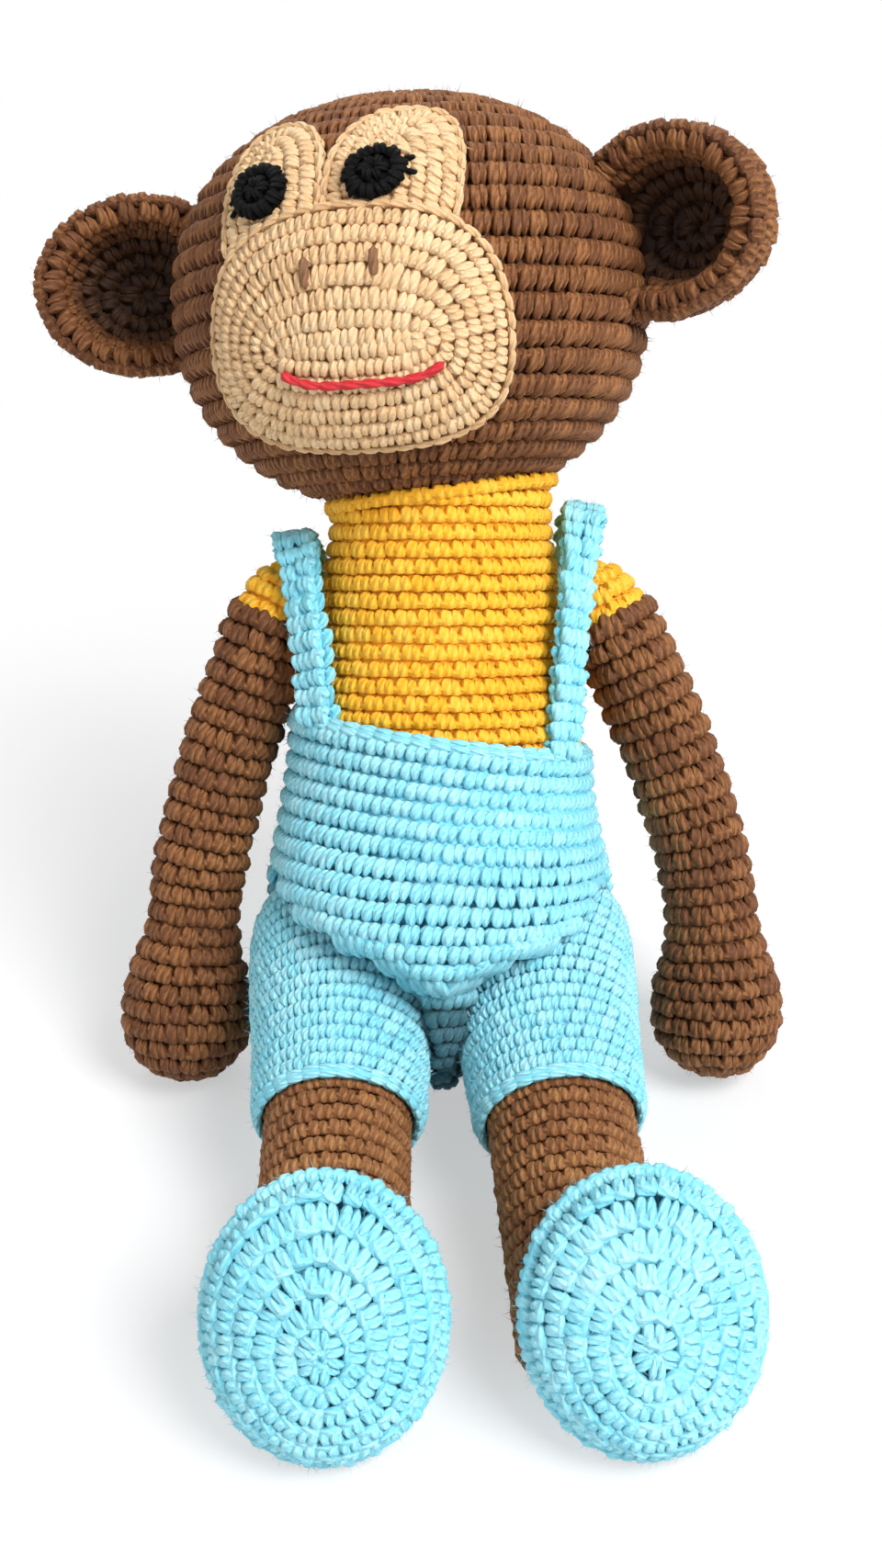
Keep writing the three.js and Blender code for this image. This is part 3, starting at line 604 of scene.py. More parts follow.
def ringed(points: Array, facing: Array, width: float, pitch: float, upright: bool = False) -> Stitches:
    """A chain or a round of stitches along a closed line.

    Args:
        points: the line, in millimetres.
        facing: the way that the stitches face at each point.
        width: across the line.
        pitch: from stitch to stitch.
        upright: True for stitches that stand across the line.

    Returns:
        The stitches, with their Vs along the line or across it.
    """
    fewest = 6
    overlap = 1.3
    loop = np.concatenate([points, points[:1]])
    lengths = spans(loop)
    count = max(fewest, round(lengths[-1] / pitch))
    step = lengths[-1] / count
    spots = np.arange(count) / count * lengths[-1]
    place = read_along(spots, lengths, loop)
    face = unit(read_along(spots, lengths, np.concatenate([facing, facing[:1]])))
    forward = unit(np.roll(place, -1, axis=0) - np.roll(place, 1, axis=0))
    if upright:
        return Stitches(place, face, forward, np.full(count, step), np.full(count, width))
    across = unit(np.cross(forward, face))
    return Stitches(place, face, across, np.full(count, width), np.full(count, step * overlap))


class CrochetGraph(Graph):
    """Geometry Nodes that set a stitch on each point, and loose fibres on the stitches."""

    INPUTS = (
        ("Stitch", "Object"), ("Fibre", "Object"), ("Yarn", "Material"), ("Depth", "Float"),
        ("Uneven", "Float"), ("Fuzz", "Float"), ("Fibre Length", "Float"), ("Seed", "Int"))
    # Unevenness of the stitches' height, as a share of the rest
    TALL_UNEVEN = 0.6
    # Lean of a fibre to either side, in radians, and its shortest and longest length
    FIBRE_LEAN = 0.9
    FIBRE_REACH = (0.5, 1.3)

    def __init__(self) -> None:
        """Writes the whole tree."""
        super().__init__(bpy.data.node_groups.new("crochet", "GeometryNodeTree"))
        for way in ("INPUT", "OUTPUT"):
            self.tree.interface.new_socket("Geometry", in_out=way, socket_type="NodeSocketGeometry")
        for name, kind in self.INPUTS:
            self.tree.interface.new_socket(name, in_out="INPUT", socket_type="NodeSocket" + kind)
        self.given = self.node("NodeGroupInput")
        fabric = self._fabric()
        both = self.node("GeometryNodeJoinGeometry", inputs={0: [self._fibres(fabric), fabric]})
        whole = self.node("GeometryNodeRealizeInstances", inputs={0: both})
        whole = self.node("GeometryNodeSetMaterial", inputs={0: whole, "Material": self.given.also("Yarn")})
        self.node("NodeGroupOutput", inputs={0: whole})

    def _data(self, name: str, kind: str) -> Wire:
        """Data that each point carries."""
        return self.node("GeometryNodeInputNamedAttribute", {"data_type": kind}, {"Name": name})

    def _chance(self, low: Any, high: Any, seed: int) -> Wire:
        """A random value for each point, between low and high."""
        given = {2: low, 3: high, 8: self.given.also("Seed") + seed}
        return self.node("FunctionNodeRandomValue", {"data_type": "FLOAT"}, given, 1)

    def _spread(self, middle: float, reach: Any, seed: int) -> Wire:
        """A random value on either side of a middle."""
        return self._chance(middle - reach, middle + reach, seed)

    def _vector(self, *parts: Any) -> Wire:
        """A vector of three values."""
        return self.node("ShaderNodeCombineXYZ", inputs=dict(enumerate(parts)))

    def _swayed(self, lay: Wire, *angles: Wire) -> Wire:
        """A rotation, turned further in its own axes."""
        euler = self.node("FunctionNodeEulerToRotation", inputs={0: self._vector(*angles)})
        return self.node("FunctionNodeRotateRotation", {"rotation_space": "LOCAL"}, {0: lay, 1: euler})

    def _copies(self, points: Wire, source: str, lay: Wire, size: Wire) -> Wire:
        """Copies of a source object on points."""
        given = {"Object": self.given.also(source)}
        shape = self.node("GeometryNodeObjectInfo", inputs=given, output="Geometry")
        return self.node("GeometryNodeInstanceOnPoints", inputs={
            "Points": points, "Instance": shape, "Rotation": lay, "Scale": size})

    def _fabric(self) -> Wire:
        """A stitch on each point, a little uneven and with a tint of its own."""
        uneven = self.given.also("Uneven")
        lay = self.node("FunctionNodeAxesToRotation", {"primary_axis": "Z", "secondary_axis": "X"},
                        {0: self._data("facing", "FLOAT_VECTOR"), 1: self._data("along", "FLOAT_VECTOR")})
        lay = self._swayed(lay, *(self._spread(0, uneven, seed) for seed in (1, 2, 3)))
        size = self._vector(
            self._data("wide", "FLOAT") * self._spread(1, uneven, 4),
            self._data("tall", "FLOAT") * self._spread(1, uneven * self.TALL_UNEVEN, 5),
            self.given.also("Depth") * self._spread(1, uneven, 6))
        stitches = self._copies(self.given, "Stitch", lay, size)
        tinted = {"data_type": "FLOAT", "domain": "INSTANCE"}
        stitches = self.node("GeometryNodeStoreNamedAttribute", tinted, {
            "Geometry": stitches, "Name": TINT, "Value": self._chance(0.0, 1.0, 7)})
        return self.node("GeometryNodeRealizeInstances", inputs={0: stitches})

    def _fibres(self, fabric: Wire) -> Wire:
        """Loose fibres all over the stitches."""
        points = self.node("GeometryNodeDistributePointsOnFaces", inputs={
            "Mesh": fabric, "Density": self.given.also("Fuzz"), "Seed": self.given.also("Seed")})
        lean = [self._spread(0, self.FIBRE_LEAN, seed) for seed in (8, 9)]
        lie = self._swayed(points.also("Rotation"), *lean, self._chance(0.0, ROUND, 10))
        reach = self.given.also("Fibre Length") * self._chance(*self.FIBRE_REACH, 11)
        return self._copies(points, "Fibre", lie, self._vector(reach, reach, reach))


class Workbox:
    """Makes pieces out of stitches, fibres and yarns."""

    SIDES = 6
    # Where a lobe's rings lie, from -1 at its foot to 1 at its head, and its two end points
    RINGS = (-0.9, -0.35, 0.4, 0.88)
    BAND_RINGS = (-0.7, 0.6)
    POLE = 1.03
    RING_UV = 2.3
    # A lobe's height over the fabric and half its depth, and how far its ends dip
    LOBE_RISE = 0.45
    LOBE_THICK = 0.95
    FOOT_DIP = 0.3
    HEAD_DIP = 0.8
    # A fibre's length in millimetres, and its sizes as shares of it
    FIBRE = 2.0
    FIBRE_SIDES = 3
    FIBRE_RADIUS = 0.032
    FIBRE_ROOT = -0.08
    FIBRE_TIP = (0.3, 0.1, 0.9)
    # A sewn yarn: its sides, the lengths of a step and of a twist, and the depths of its plies and dips
    CORD_SIDES = 12
    CORD_FEWEST = 8
    CORD_STEP = 0.7
    CORD_TWIST = 6.0
    CORD_PLY = 0.1
    CORD_DIP = 0.3
    CORD_DIP_SHARP = 12
    CORD_END = 0.02
    SEED_STEP = 17

    def __init__(self) -> None:
        """Makes the stitches, the fibre and the tree."""
        self.stitches = {shape: placed(f"{shape.name}_stitch", self._stitch_mesh(shape)) for shape in Shape}
        self.fibre = placed("fibre_source", self._fibre_mesh())
        self.tree = CrochetGraph().tree
        self.seed = 0

    def _stitch_mesh(self, shape: Shape) -> Mesh:
        """The lobes of a stitch, 1 wide and 1 tall, with a depth of 1.

        Args:
            shape: how its lobes lie.

        Returns:
            The mesh.
        """
        net = bmesh.new()
        uv = net.loops.layers.uv.new(YARN_UV)
        for lobe in shape.value:
            self._lobe(net, uv, lobe)
        bmesh.ops.recalc_face_normals(net, faces=net.faces)
        return self._finished(net, f"{shape.name}_stitch")

    def _lobe_middle(self, lobe: Lobe, share: float) -> Vector:
        """Middle of a lobe, from -1 at its foot to 1 at its head."""
        dip = lobe.dip * (self.FOOT_DIP if share < 0 else self.HEAD_DIP) * share * share
        height = Vector((0, 0, lobe.lift * (self.LOBE_RISE - dip)))
        return Vector((*lobe.foot, 0)).lerp(Vector((*lobe.head, 0)), (share + 1) / 2) + height

    def _lobe(self, net: Net, uv: Any, lobe: Lobe) -> None:
        """One lobe: it bulges in the middle and its ends dip under the next rows.

        Args:
            net: takes its faces.
            uv: the layer of the yarn's map.
            lobe: its sizes.
        """
        lean = Vector((*lobe.head, 0)) - Vector((*lobe.foot, 0))
        lean.normalize()
        across = Vector((lean.y, -lean.x, 0))
        stations = self.RINGS if lobe.dip else self.BAND_RINGS
        rings = []
        for share in stations:
            wide = across * lobe.fullest(share) * lobe.rounding(share)
            high = Vector((0, 0, self.LOBE_THICK * lobe.rounding(share)))
            middle = self._lobe_middle(lobe, share)
            rings.append([net.verts.new(middle + wide * math.cos(a) + high * math.sin(a))
                          for a in circle(self.SIDES)])
        shares = [0.5 + share / self.RING_UV for share in stations]
        self._tube(net, uv, rings, shares)
        for ring, share, start, end in (
                (rings[0], -self.POLE, shares[0], 0.0), (rings[-1], self.POLE, shares[-1], 1.0)):
            pole = net.verts.new(self._lobe_middle(lobe, share))
            for k in range(self.SIDES):
                face = net.faces.new((ring[k], ring[(k + 1) % self.SIDES], pole))
                for loop, spot in zip(face.loops, ((k, start), (k + 1, start), (k + 0.5, end))):
                    loop[uv].uv = (spot[0] / self.SIDES, spot[1])

    @staticmethod
    def _tube(net: Net, uv: Any, rings: Sequence[Sequence[Any]], shares: Sequence[float]) -> None:
        """Faces between rings of points.

        Args:
            net: takes the faces.
            uv: the layer of the yarn's map.
            rings: points of each ring.
            shares: place of each ring along the yarn's map.
        """
        sides = len(rings[0])
        for low, high, start, end in zip(rings, rings[1:], shares, shares[1:]):
            for k in range(sides):
                after = (k + 1) % sides
                face = net.faces.new((low[k], low[after], high[after], high[k]))
                for loop, spot in zip(face.loops, ((k, start), (k + 1, start), (k + 1, end), (k, end))):
                    loop[uv].uv = (spot[0] / sides, spot[1])

    def _fibre_mesh(self) -> Mesh:
        """A loose fibre: a thin sliver, 1 long."""
        net = bmesh.new()
        net.loops.layers.uv.new(YARN_UV)
        root = polar(self.FIBRE_RADIUS, circle(self.FIBRE_SIDES) + math.pi / 2, self.FIBRE_ROOT)
        low = [net.verts.new(point) for point in root]
        tip = net.verts.new(self.FIBRE_TIP)
        net.faces.new(reversed(low))
        for k in range(self.FIBRE_SIDES):
            net.faces.new((low[k], low[(k + 1) % self.FIBRE_SIDES], tip))
        return self._finished(net, "fibre_source")

    @staticmethod
    def _finished(net: Net, name: str) -> Mesh:
        """A mesh with smooth faces."""
        for face in net.faces:
            face.smooth = True
        return plain_mesh(net, name)

    def crocheted(self, name: str, stitches: Stitches, gauge: Gauge, yarn: YarnFinish) -> Piece:
        """Sets a stitch on every place.

        Args:
            name: name of the piece.
            stitches: where the stitches go.
            gauge: depth and unevenness of the stitches.
            yarn: their finish.

        Returns:
            An object whose plain mesh holds all the stitches.
        """
        made = placed(name, self._places(name, stitches))
        self.seed += self.SEED_STEP
        worked = made.modifiers.new("crochet", "NODES")
        worked.node_group = self.tree
        values = {"Stitch": self.stitches[gauge.shape], "Fibre": self.fibre, "Yarn": yarn.material(),
                  "Depth": gauge.depth * MM, "Uneven": gauge.uneven, "Fuzz": yarn.fuzz,
                  "Fibre Length": self.FIBRE * MM, "Seed": self.seed}
        for item in self.tree.interface.items_tree:
            if item.in_out == "INPUT" and item.name in values:
                worked[item.identifier] = values[item.name]
        graph = bpy.context.evaluated_depsgraph_get()
        plain = bpy.data.meshes.new_from_object(
            made.evaluated_get(graph), preserve_all_data_layers=True, depsgraph=graph)
        made.modifiers.clear()
        made.data = plain
        for data in LAY_DATA:
            if data in plain.attributes:
                plain.attributes.remove(plain.attributes[data])
        return made

    @staticmethod
    def _places(name: str, stitches: Stitches) -> Mesh:
        """A mesh of loose points that carry how each stitch is laid.

        Args:
            name: of the mesh.
            stitches: their places.

        Returns:
            The mesh.
        """
        mesh = bpy.data.meshes.new(name)
        mesh.from_pydata((stitches.place * MM).tolist(), [], [])
        for data in LAY_DATA:
            values = getattr(stitches, data)
            if values.ndim > 1:
                layer = mesh.attributes.new(data, "FLOAT_VECTOR", "POINT")
                layer.data.foreach_set("vector", values.astype(np.float32).ravel())
            else:
                layer = mesh.attributes.new(data, "FLOAT", "POINT")
                layer.data.foreach_set("value", (values * MM).astype(np.float32))
        return mesh

    def lined(self, piece: Piece, yarn: YarnFinish, node: str, inset: float) -> None:
        """Adds the depth of the fabric behind the stitches, in a finish darkened as painted shade.

        Args:
            piece: the stitches.
            yarn: their finish.
            node: solid whose form, drawn in by inset, backs the stitches.
            inset: in millimetres.
        """
        wall = bmesh.new()
        wall.from_mesh(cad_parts[node].data)
        bmesh.ops.remove_doubles(wall, verts=wall.verts, dist=1e-6)
        wall.normal_update()
        inner = [(vertex, vertex.co - vertex.normal * inset * MM) for vertex in wall.verts]
        for vertex, place in inner:
            vertex.co = place
        for face in wall.faces:
            face.material_index = 1
        mesh = self._finished(wall, "depth")
        self._added(piece, [mesh])
        bpy.data.meshes.remove(mesh)
        piece.data.materials.clear()
        piece.data.materials.append(yarn.material())
        piece.data.materials.append(yarn.lining())

    def cord(
        self, name: str, points: Array, radius: float, yarn: YarnFinish, facing: Array,
        stitch: Optional[float] = None,
    ) -> Piece:
        """A twisted yarn with round ends.

        Args:
            name: name of the piece.
            points: its middle line, in millimetres.
            radius: in millimetres.
            yarn: its finish.
            facing: the way that it looks.
            stitch: length after which it dips into the fabric, in millimetres.

        Returns:
            The yarn's object.
        """
        lengths = spans(points)
        whole = lengths[-1]
        spots = np.linspace(0, whole, max(self.CORD_FEWEST, round(whole / self.CORD_STEP)))
        middle = read_along(spots, lengths, points)
        tangent = unit(np.gradient(middle, axis=0))
        across = unit(np.cross(tangent, facing))
        over = np.cross(across, tangent)
        net = bmesh.new()
        uv = net.loops.layers.uv.new(YARN_UV)
        rings = []
        for i, spot in enumerate(spots):
            near_end = max(1 - min(spot, whole - spot) / radius, 0)
            reach = radius * math.sqrt(max(1 - near_end ** 2, self.CORD_END))
            if stitch and spot > stitch / 2:
                dip = abs(math.cos(math.pi * spot / stitch)) ** self.CORD_DIP_SHARP
                reach *= 1 - self.CORD_DIP * dip
            ring = []
            for angle in circle(self.CORD_SIDES):
                ply = math.sin(yarn.plies * angle + ROUND * yarn.twist * spot / self.CORD_TWIST)
                spoke = math.cos(angle) * across[i] + math.sin(angle) * over[i]
                ring.append(net.verts.new((middle[i] + reach * (1 + self.CORD_PLY * ply) * spoke) * MM))
            rings.append(ring)
        self._tube(net, uv, rings, spots / self.CORD_TWIST)
        net.faces.new(reversed(rings[0]))
        net.faces.new(rings[-1])
        bmesh.ops.recalc_face_normals(net, faces=net.faces)
        made = placed(name, self._finished(net, name))
        made.data.materials.append(yarn.material())
        return made

    @staticmethod
    def _added(piece: Piece, meshes: Sequence[Mesh]) -> None:
        """Adds meshes to a piece."""
        net = bmesh.new()
        for mesh in (piece.data, *meshes):
            net.from_mesh(mesh)
        net.to_mesh(piece.data)
        net.free()

    def joined(self, piece: Piece, others: Sequence[Piece]) -> Piece:
        """Adds other objects to a piece and removes them."""
        self._added(piece, [other.data for other in others])
        for other in others:
            bpy.data.objects.remove(other)
        return piece

    def put_away(self) -> None:
        """Removes the stitches and the fibre that the pieces were made with."""
        for source in (*self.stitches.values(), self.fibre):
            bpy.data.objects.remove(source)


@dataclass(frozen=True)
class Seat:
    """What a finished piece belongs to, in millimetres.

    The first of the nodes that it stands for backs it, drawn in by inset. Its stitches are sunk into
    that node's form. Shade is painted shade: how deep places lie in a hollow, from 0 to 1.
    """

    body: str
    nodes: tuple[str, ...]
    fill: Optional[float] = None
    inset: Optional[float] = None
    sunk: float = 0.0
    shade: Optional[Warp] = None


@dataclass
class Part:
    """A sub-assembly; it makes its pieces with a workbox."""

    box: Workbox

    def settle(self, piece: Piece, yarn: YarnFinish, seat: Seat) -> None:
        """Backs a piece, keeps it off the ground and ties it to the frame.

        Args:
            piece: the piece.
            yarn: its finish.
            seat: what it belongs to.
        """
        if seat.inset is not None:
            self.box.lined(piece, yarn, seat.nodes[0], seat.inset)
        places = np.empty(len(piece.data.vertices) * 3, np.float32)
        piece.data.vertices.foreach_get("co", places)
        places = places.reshape(-1, 3)
        places[:, 2] = np.maximum(places[:, 2], GROUND * MM)
        piece.data.vertices.foreach_set("co", places.ravel())
        # Painted shade: how deep each place lies in a hollow, which darkens the finish
        if seat.shade:
            layer = piece.data.attributes.new(SHADE, "FLOAT", "POINT")
            layer.data.foreach_set("value", seat.shade(places / MM).astype(np.float32))
        piece.data.update()
        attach(piece, seat.body)
        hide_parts(*seat.nodes)
        LOG.info("%s: %d faces on %s", piece.name, len(piece.data.polygons), seat.body)

    def fabric(self, name: str, stitches: Stitches, gauge: Gauge, yarn: YarnFinish, seat: Seat) -> None:
        """A crocheted piece, backed and tied to the frame."""
        self.settle(self.box.crocheted(name, stitches.sunk(seat.sunk), gauge, yarn), yarn, seat)


@dataclass(frozen=True)
class TorsoSizes:
    """The torso along its axis, from the middle of the hips, in millimetres and degrees."""

    lean: float = 26.4
    hips_height: float = 36.0
    hips_forward: float = 12.0
    length: float = 102.0
    neck: float = 25.8
    chest: float = 28.5
    waist: float = 33.0
    hips: float = 39.2
    seat_drop: float = 33.0
    seat_fullness: float = 2.7
    bulge: float = 13.0
    bulge_at: float = -16.0
    bulge_reach: float = 34.0
    tuck: float = 14.0
    tuck_at: float = -14.0
    tuck_reach: float = 21.0
    tuck_aside: float = 20.0
    overhang: float = 5.0
    overhang_at: float = 9.0
    overhang_reach: float = 22.0
    push_sharpness: float = 1.5
    waist_at: float = 0.43
    chest_at: float = 0.72
    shoulder_at: float = 0.77
    seam_gap: float = 0.4
    garment: float = 2.6
    edge: float = 46.0
    edge_tilt: float = 8.0
    edge_yarn: float = 1.6
    neck_yarn: float = 1.1

    @property
    def matrix(self) -> Array:
        """Place of the torso."""
        return shift(0, -self.hips_forward, self.hips_height) @ turned("X", -self.lean)

    def radius(self, height: Number, out: float = 0.0) -> Array:
        """Radius at a height over the hips.

        Args:
            height: in millimetres.
            out: distance that the form is moved out by.

        Returns:
            The radius.
        """
        height = np.asarray(height)
        share = np.clip(-height / (self.seat_drop + out), 0, 1)
        seat = (self.hips + out) * (1 - share ** self.seat_fullness) ** (1 / self.seat_fullness)
        waist_height = self.length * self.waist_at
        chest_height = self.length * self.chest_at
        rise = mix(self.hips, self.waist, smooth(height, 0, waist_height))
        rise = mix(rise, self.chest, smooth(height, waist_height, chest_height))
        rise = mix(rise, self.neck, smooth(height, chest_height, self.length))
        return np.where(height <= 0, seat, rise + out)

    @staticmethod
    def swell(height: Array, middle: float, reach: float) -> Array:
        """1 at a middle height, and 0 from a reach on."""
        away = np.minimum(np.abs(height - middle) / reach, 1)
        return np.cos(away * math.pi / 2) ** 2

    def seated(self, local: Array) -> Array:
        """Pushes the seat out to the rear and the belly out over the legs, and tucks its underside in.

        Args:
            local: points of the round form.

        Returns:
            The points of the seated form.
        """
        height = local[:, 2]
        share = (np.abs(local[:, 1]) / (self.hips + self.garment)) ** self.push_sharpness
        seat = self.bulge * self.swell(height, self.bulge_at, self.bulge_reach)
        belly = self.tuck * self.swell(height, self.tuck_at, self.tuck_reach)
        belly = belly * smooth(np.abs(local[:, 0]), 0, self.tuck_aside)
        belly = belly - self.overhang * self.swell(height, self.overhang_at, self.overhang_reach)
        push = share * np.where(local[:, 1] > 0, seat, belly)
        return local + columns(0, push, 0)

    def profile(self, out: float, top: float) -> Array:
        """Radius and height from the bottom of the seat to a height.

        Args:
            out: distance that the form is moved out by.
            top: the height.

        Returns:
            Points of the profile.
        """
        bend = -(self.seat_drop + out) * np.cos(np.linspace(0, math.pi / 2, 60))
        heights = np.concatenate([bend, np.linspace(0, top, 120)[1:]])
        return columns(self.radius(heights, out), heights)

    def edge_height(self, x: Array) -> Array:
        """Height of the slanting waist edge, at a distance to the side."""
        return self.edge - x * math.tan(math.radians(self.edge_tilt))

    def over_edge(self, places: Array) -> Array:
        """Distance of places over the slanting waist edge."""
        local = within(self.matrix, places)
        return (local[:, 2] - self.edge_height(local[:, 0])) * math.cos(math.radians(self.edge_tilt))


@dataclass(frozen=True)
class HeadSizes:
    """The ball of the head, in millimetres and degrees."""

    torso: TorsoSizes = TorsoSizes()
    width: float = 110.0
    height: float = 93.0
    fullness: float = 2.2
    roll: float = 3.5
    turn: float = 17.0
    aside: float = 7.0
    opening: float = 18.0
    face_tilt: float = 3.5
    seam_gap: float = 0.4

    @property
    def matrix(self) -> Array:
        """Place of the head."""
        centre = shift(-self.aside, 0, self.torso.length + self.height / 2)
        return self.torso.matrix @ centre @ turned("Y", -self.roll) @ turned("Z", -self.turn)

    def curve(self, latitude: Number) -> tuple[Array, Array]:
        """Radius and height at a latitude, in radians."""
        exponent = 2 / self.fullness
        radius = self.width / 2 * np.maximum(np.cos(latitude), 0) ** exponent
        return radius, self.height / 2 * power(np.sin(latitude), exponent)

    def depth(self, places: Array, out: float) -> Array:
        """Under 1 for places inside the head's form moved out by a distance.

        Args:
            places: in the frame.
            out: the distance.

        Returns:
            One value for each place.
        """
        local = within(self.matrix, places)
        across = np.hypot(local[:, 0], local[:, 1]) / (self.width / 2 + out)
        return across ** self.fullness + (np.abs(local[:, 2]) / (self.height / 2 + out)) ** self.fullness

    @property
    def degrees_per_mm(self) -> float:
        """Latitude for a millimetre up the face."""
        return math.degrees(4 / (self.width + self.height))

    def tilt(self, across: Array) -> Array:
        """Latitude that the face's tilt adds at a distance across, in radians."""
        return across * math.radians(self.face_tilt) * 2 / self.width

    def on_face(self, across: Array, latitude: Array, out: Array) -> Array:
        """Points on the face.

        Args:
            across: sideways, in millimetres.
            latitude: up, in degrees.
            out: distance from the skin.

        Returns:
            The points, in the frame.
        """
        angle = np.radians(latitude) + self.tilt(across)
        skin, height = self.curve(angle)
        exponent = 2 / self.fullness
        radius = skin + out * np.maximum(np.cos(angle), 0) ** exponent
        height = height + out * power(np.sin(angle), exponent)
        return moved(self.matrix, polar(radius, across / np.maximum(skin, 1), height))

    def face_spot(self, places: Array) -> tuple[Array, Array]:
        """Where places near the skin lie on the face.

        Args:
            places: in the frame.

        Returns:
            Across in millimetres, and latitude in degrees.
        """
        local = within(self.matrix, places)
        exponent = self.fullness / 2
        flat = np.hypot(local[:, 0], local[:, 1])
        rise = power(local[:, 2] / (self.height / 2), exponent)
        angle = np.arctan2(rise, np.abs(flat / (self.width / 2)) ** exponent)
        across = np.arctan2(local[:, 0], -local[:, 1]) * self.curve(angle)[0]
        return across, np.degrees(angle - self.tilt(across))


@dataclass
class Patch(Form):
    """An oval sewn on the face, worked in rounds from a short chain at its middle."""

    # Share of the rise that the edge has, and how flat the crown is
    EDGE_SHARE: ClassVar[float] = 0.5
    CROWN_FLAT: ClassVar[int] = 4

    head: HeadSizes
    across: float
    latitude: float
    width: float
    height: float
    base: float
    rise: float
    fullness: float
    chain: float = 0.0
    lean: float = 0.0
    outward: int = -1

    @property
    def slim(self) -> float:
        """Half the smaller of the patch's sizes, which the rounds fill."""
        return min(self.width, self.height) / 2

    def spread(self, run: Array, turn: Array) -> tuple[Array, Array]:
        """Distances from the middle; the first round goes round a chain.

        Args:
            run: from round to round.
            turn: along a round.

        Returns:
            The distances sideways and up.
        """
        chain = np.array([max(self.width / 2 - self.slim, self.chain), self.height / 2 - self.slim])
        grow = (np.array([self.width, self.height]) / 2 - chain) / self.slim
        u = (chain[0] + run * grow[0]) * power(np.cos(turn), 2 / self.fullness)
        v = (chain[1] + run * grow[1]) * power(np.sin(turn), 2 / self.fullness)
        return self.turned_by(self.lean, u, v)

    @staticmethod
    def turned_by(degrees: float, u: Array, v: Array) -> tuple[Array, Array]:
        """Distances from the middle after a clockwise turn."""
        cosine, sine = math.cos(math.radians(degrees)), math.sin(math.radians(degrees))
        return u * cosine + v * sine, v * cosine - u * sine

    def share(self, u: Array, v: Array) -> Array:
        """0 at the middle and 1 at the edge.

        Args:
            u: distance sideways.
            v: distance up.

        Returns:
            The share of the way to the edge.
        """
        u, v = self.turned_by(-self.lean, u, v)
        sideways = np.abs(u / (self.width / 2)) ** self.fullness
        upwards = np.abs(v / (self.height / 2)) ** self.fullness
        return (sideways + upwards) ** (1 / self.fullness)

    def over(self, share: Array) -> Array:
        """Distance of the patch's face from the skin, at a share of the way to the edge."""
        crown = np.sqrt(np.maximum(1 - np.minimum(share, 1) ** self.CROWN_FLAT, 0))
        return self.base + self.rise * mix(self.EDGE_SHARE, 1, crown) - np.maximum(share - 1, 0) * self.slim

    def at(self, run: Array, turn: Array) -> Array:
        """Points of the patch's face."""
        u, v = self.spread(run, turn)
        return self.head.on_face(
            self.across + u, self.latitude + v * self.head.degrees_per_mm, self.over(self.share(u, v)))

    def around(self, places: Array) -> Array:
        """Under 1 for places that the patch covers."""
        across, latitude = self.head.face_spot(places)
        return self.share(across - self.across, (latitude - self.latitude) / self.head.degrees_per_mm)


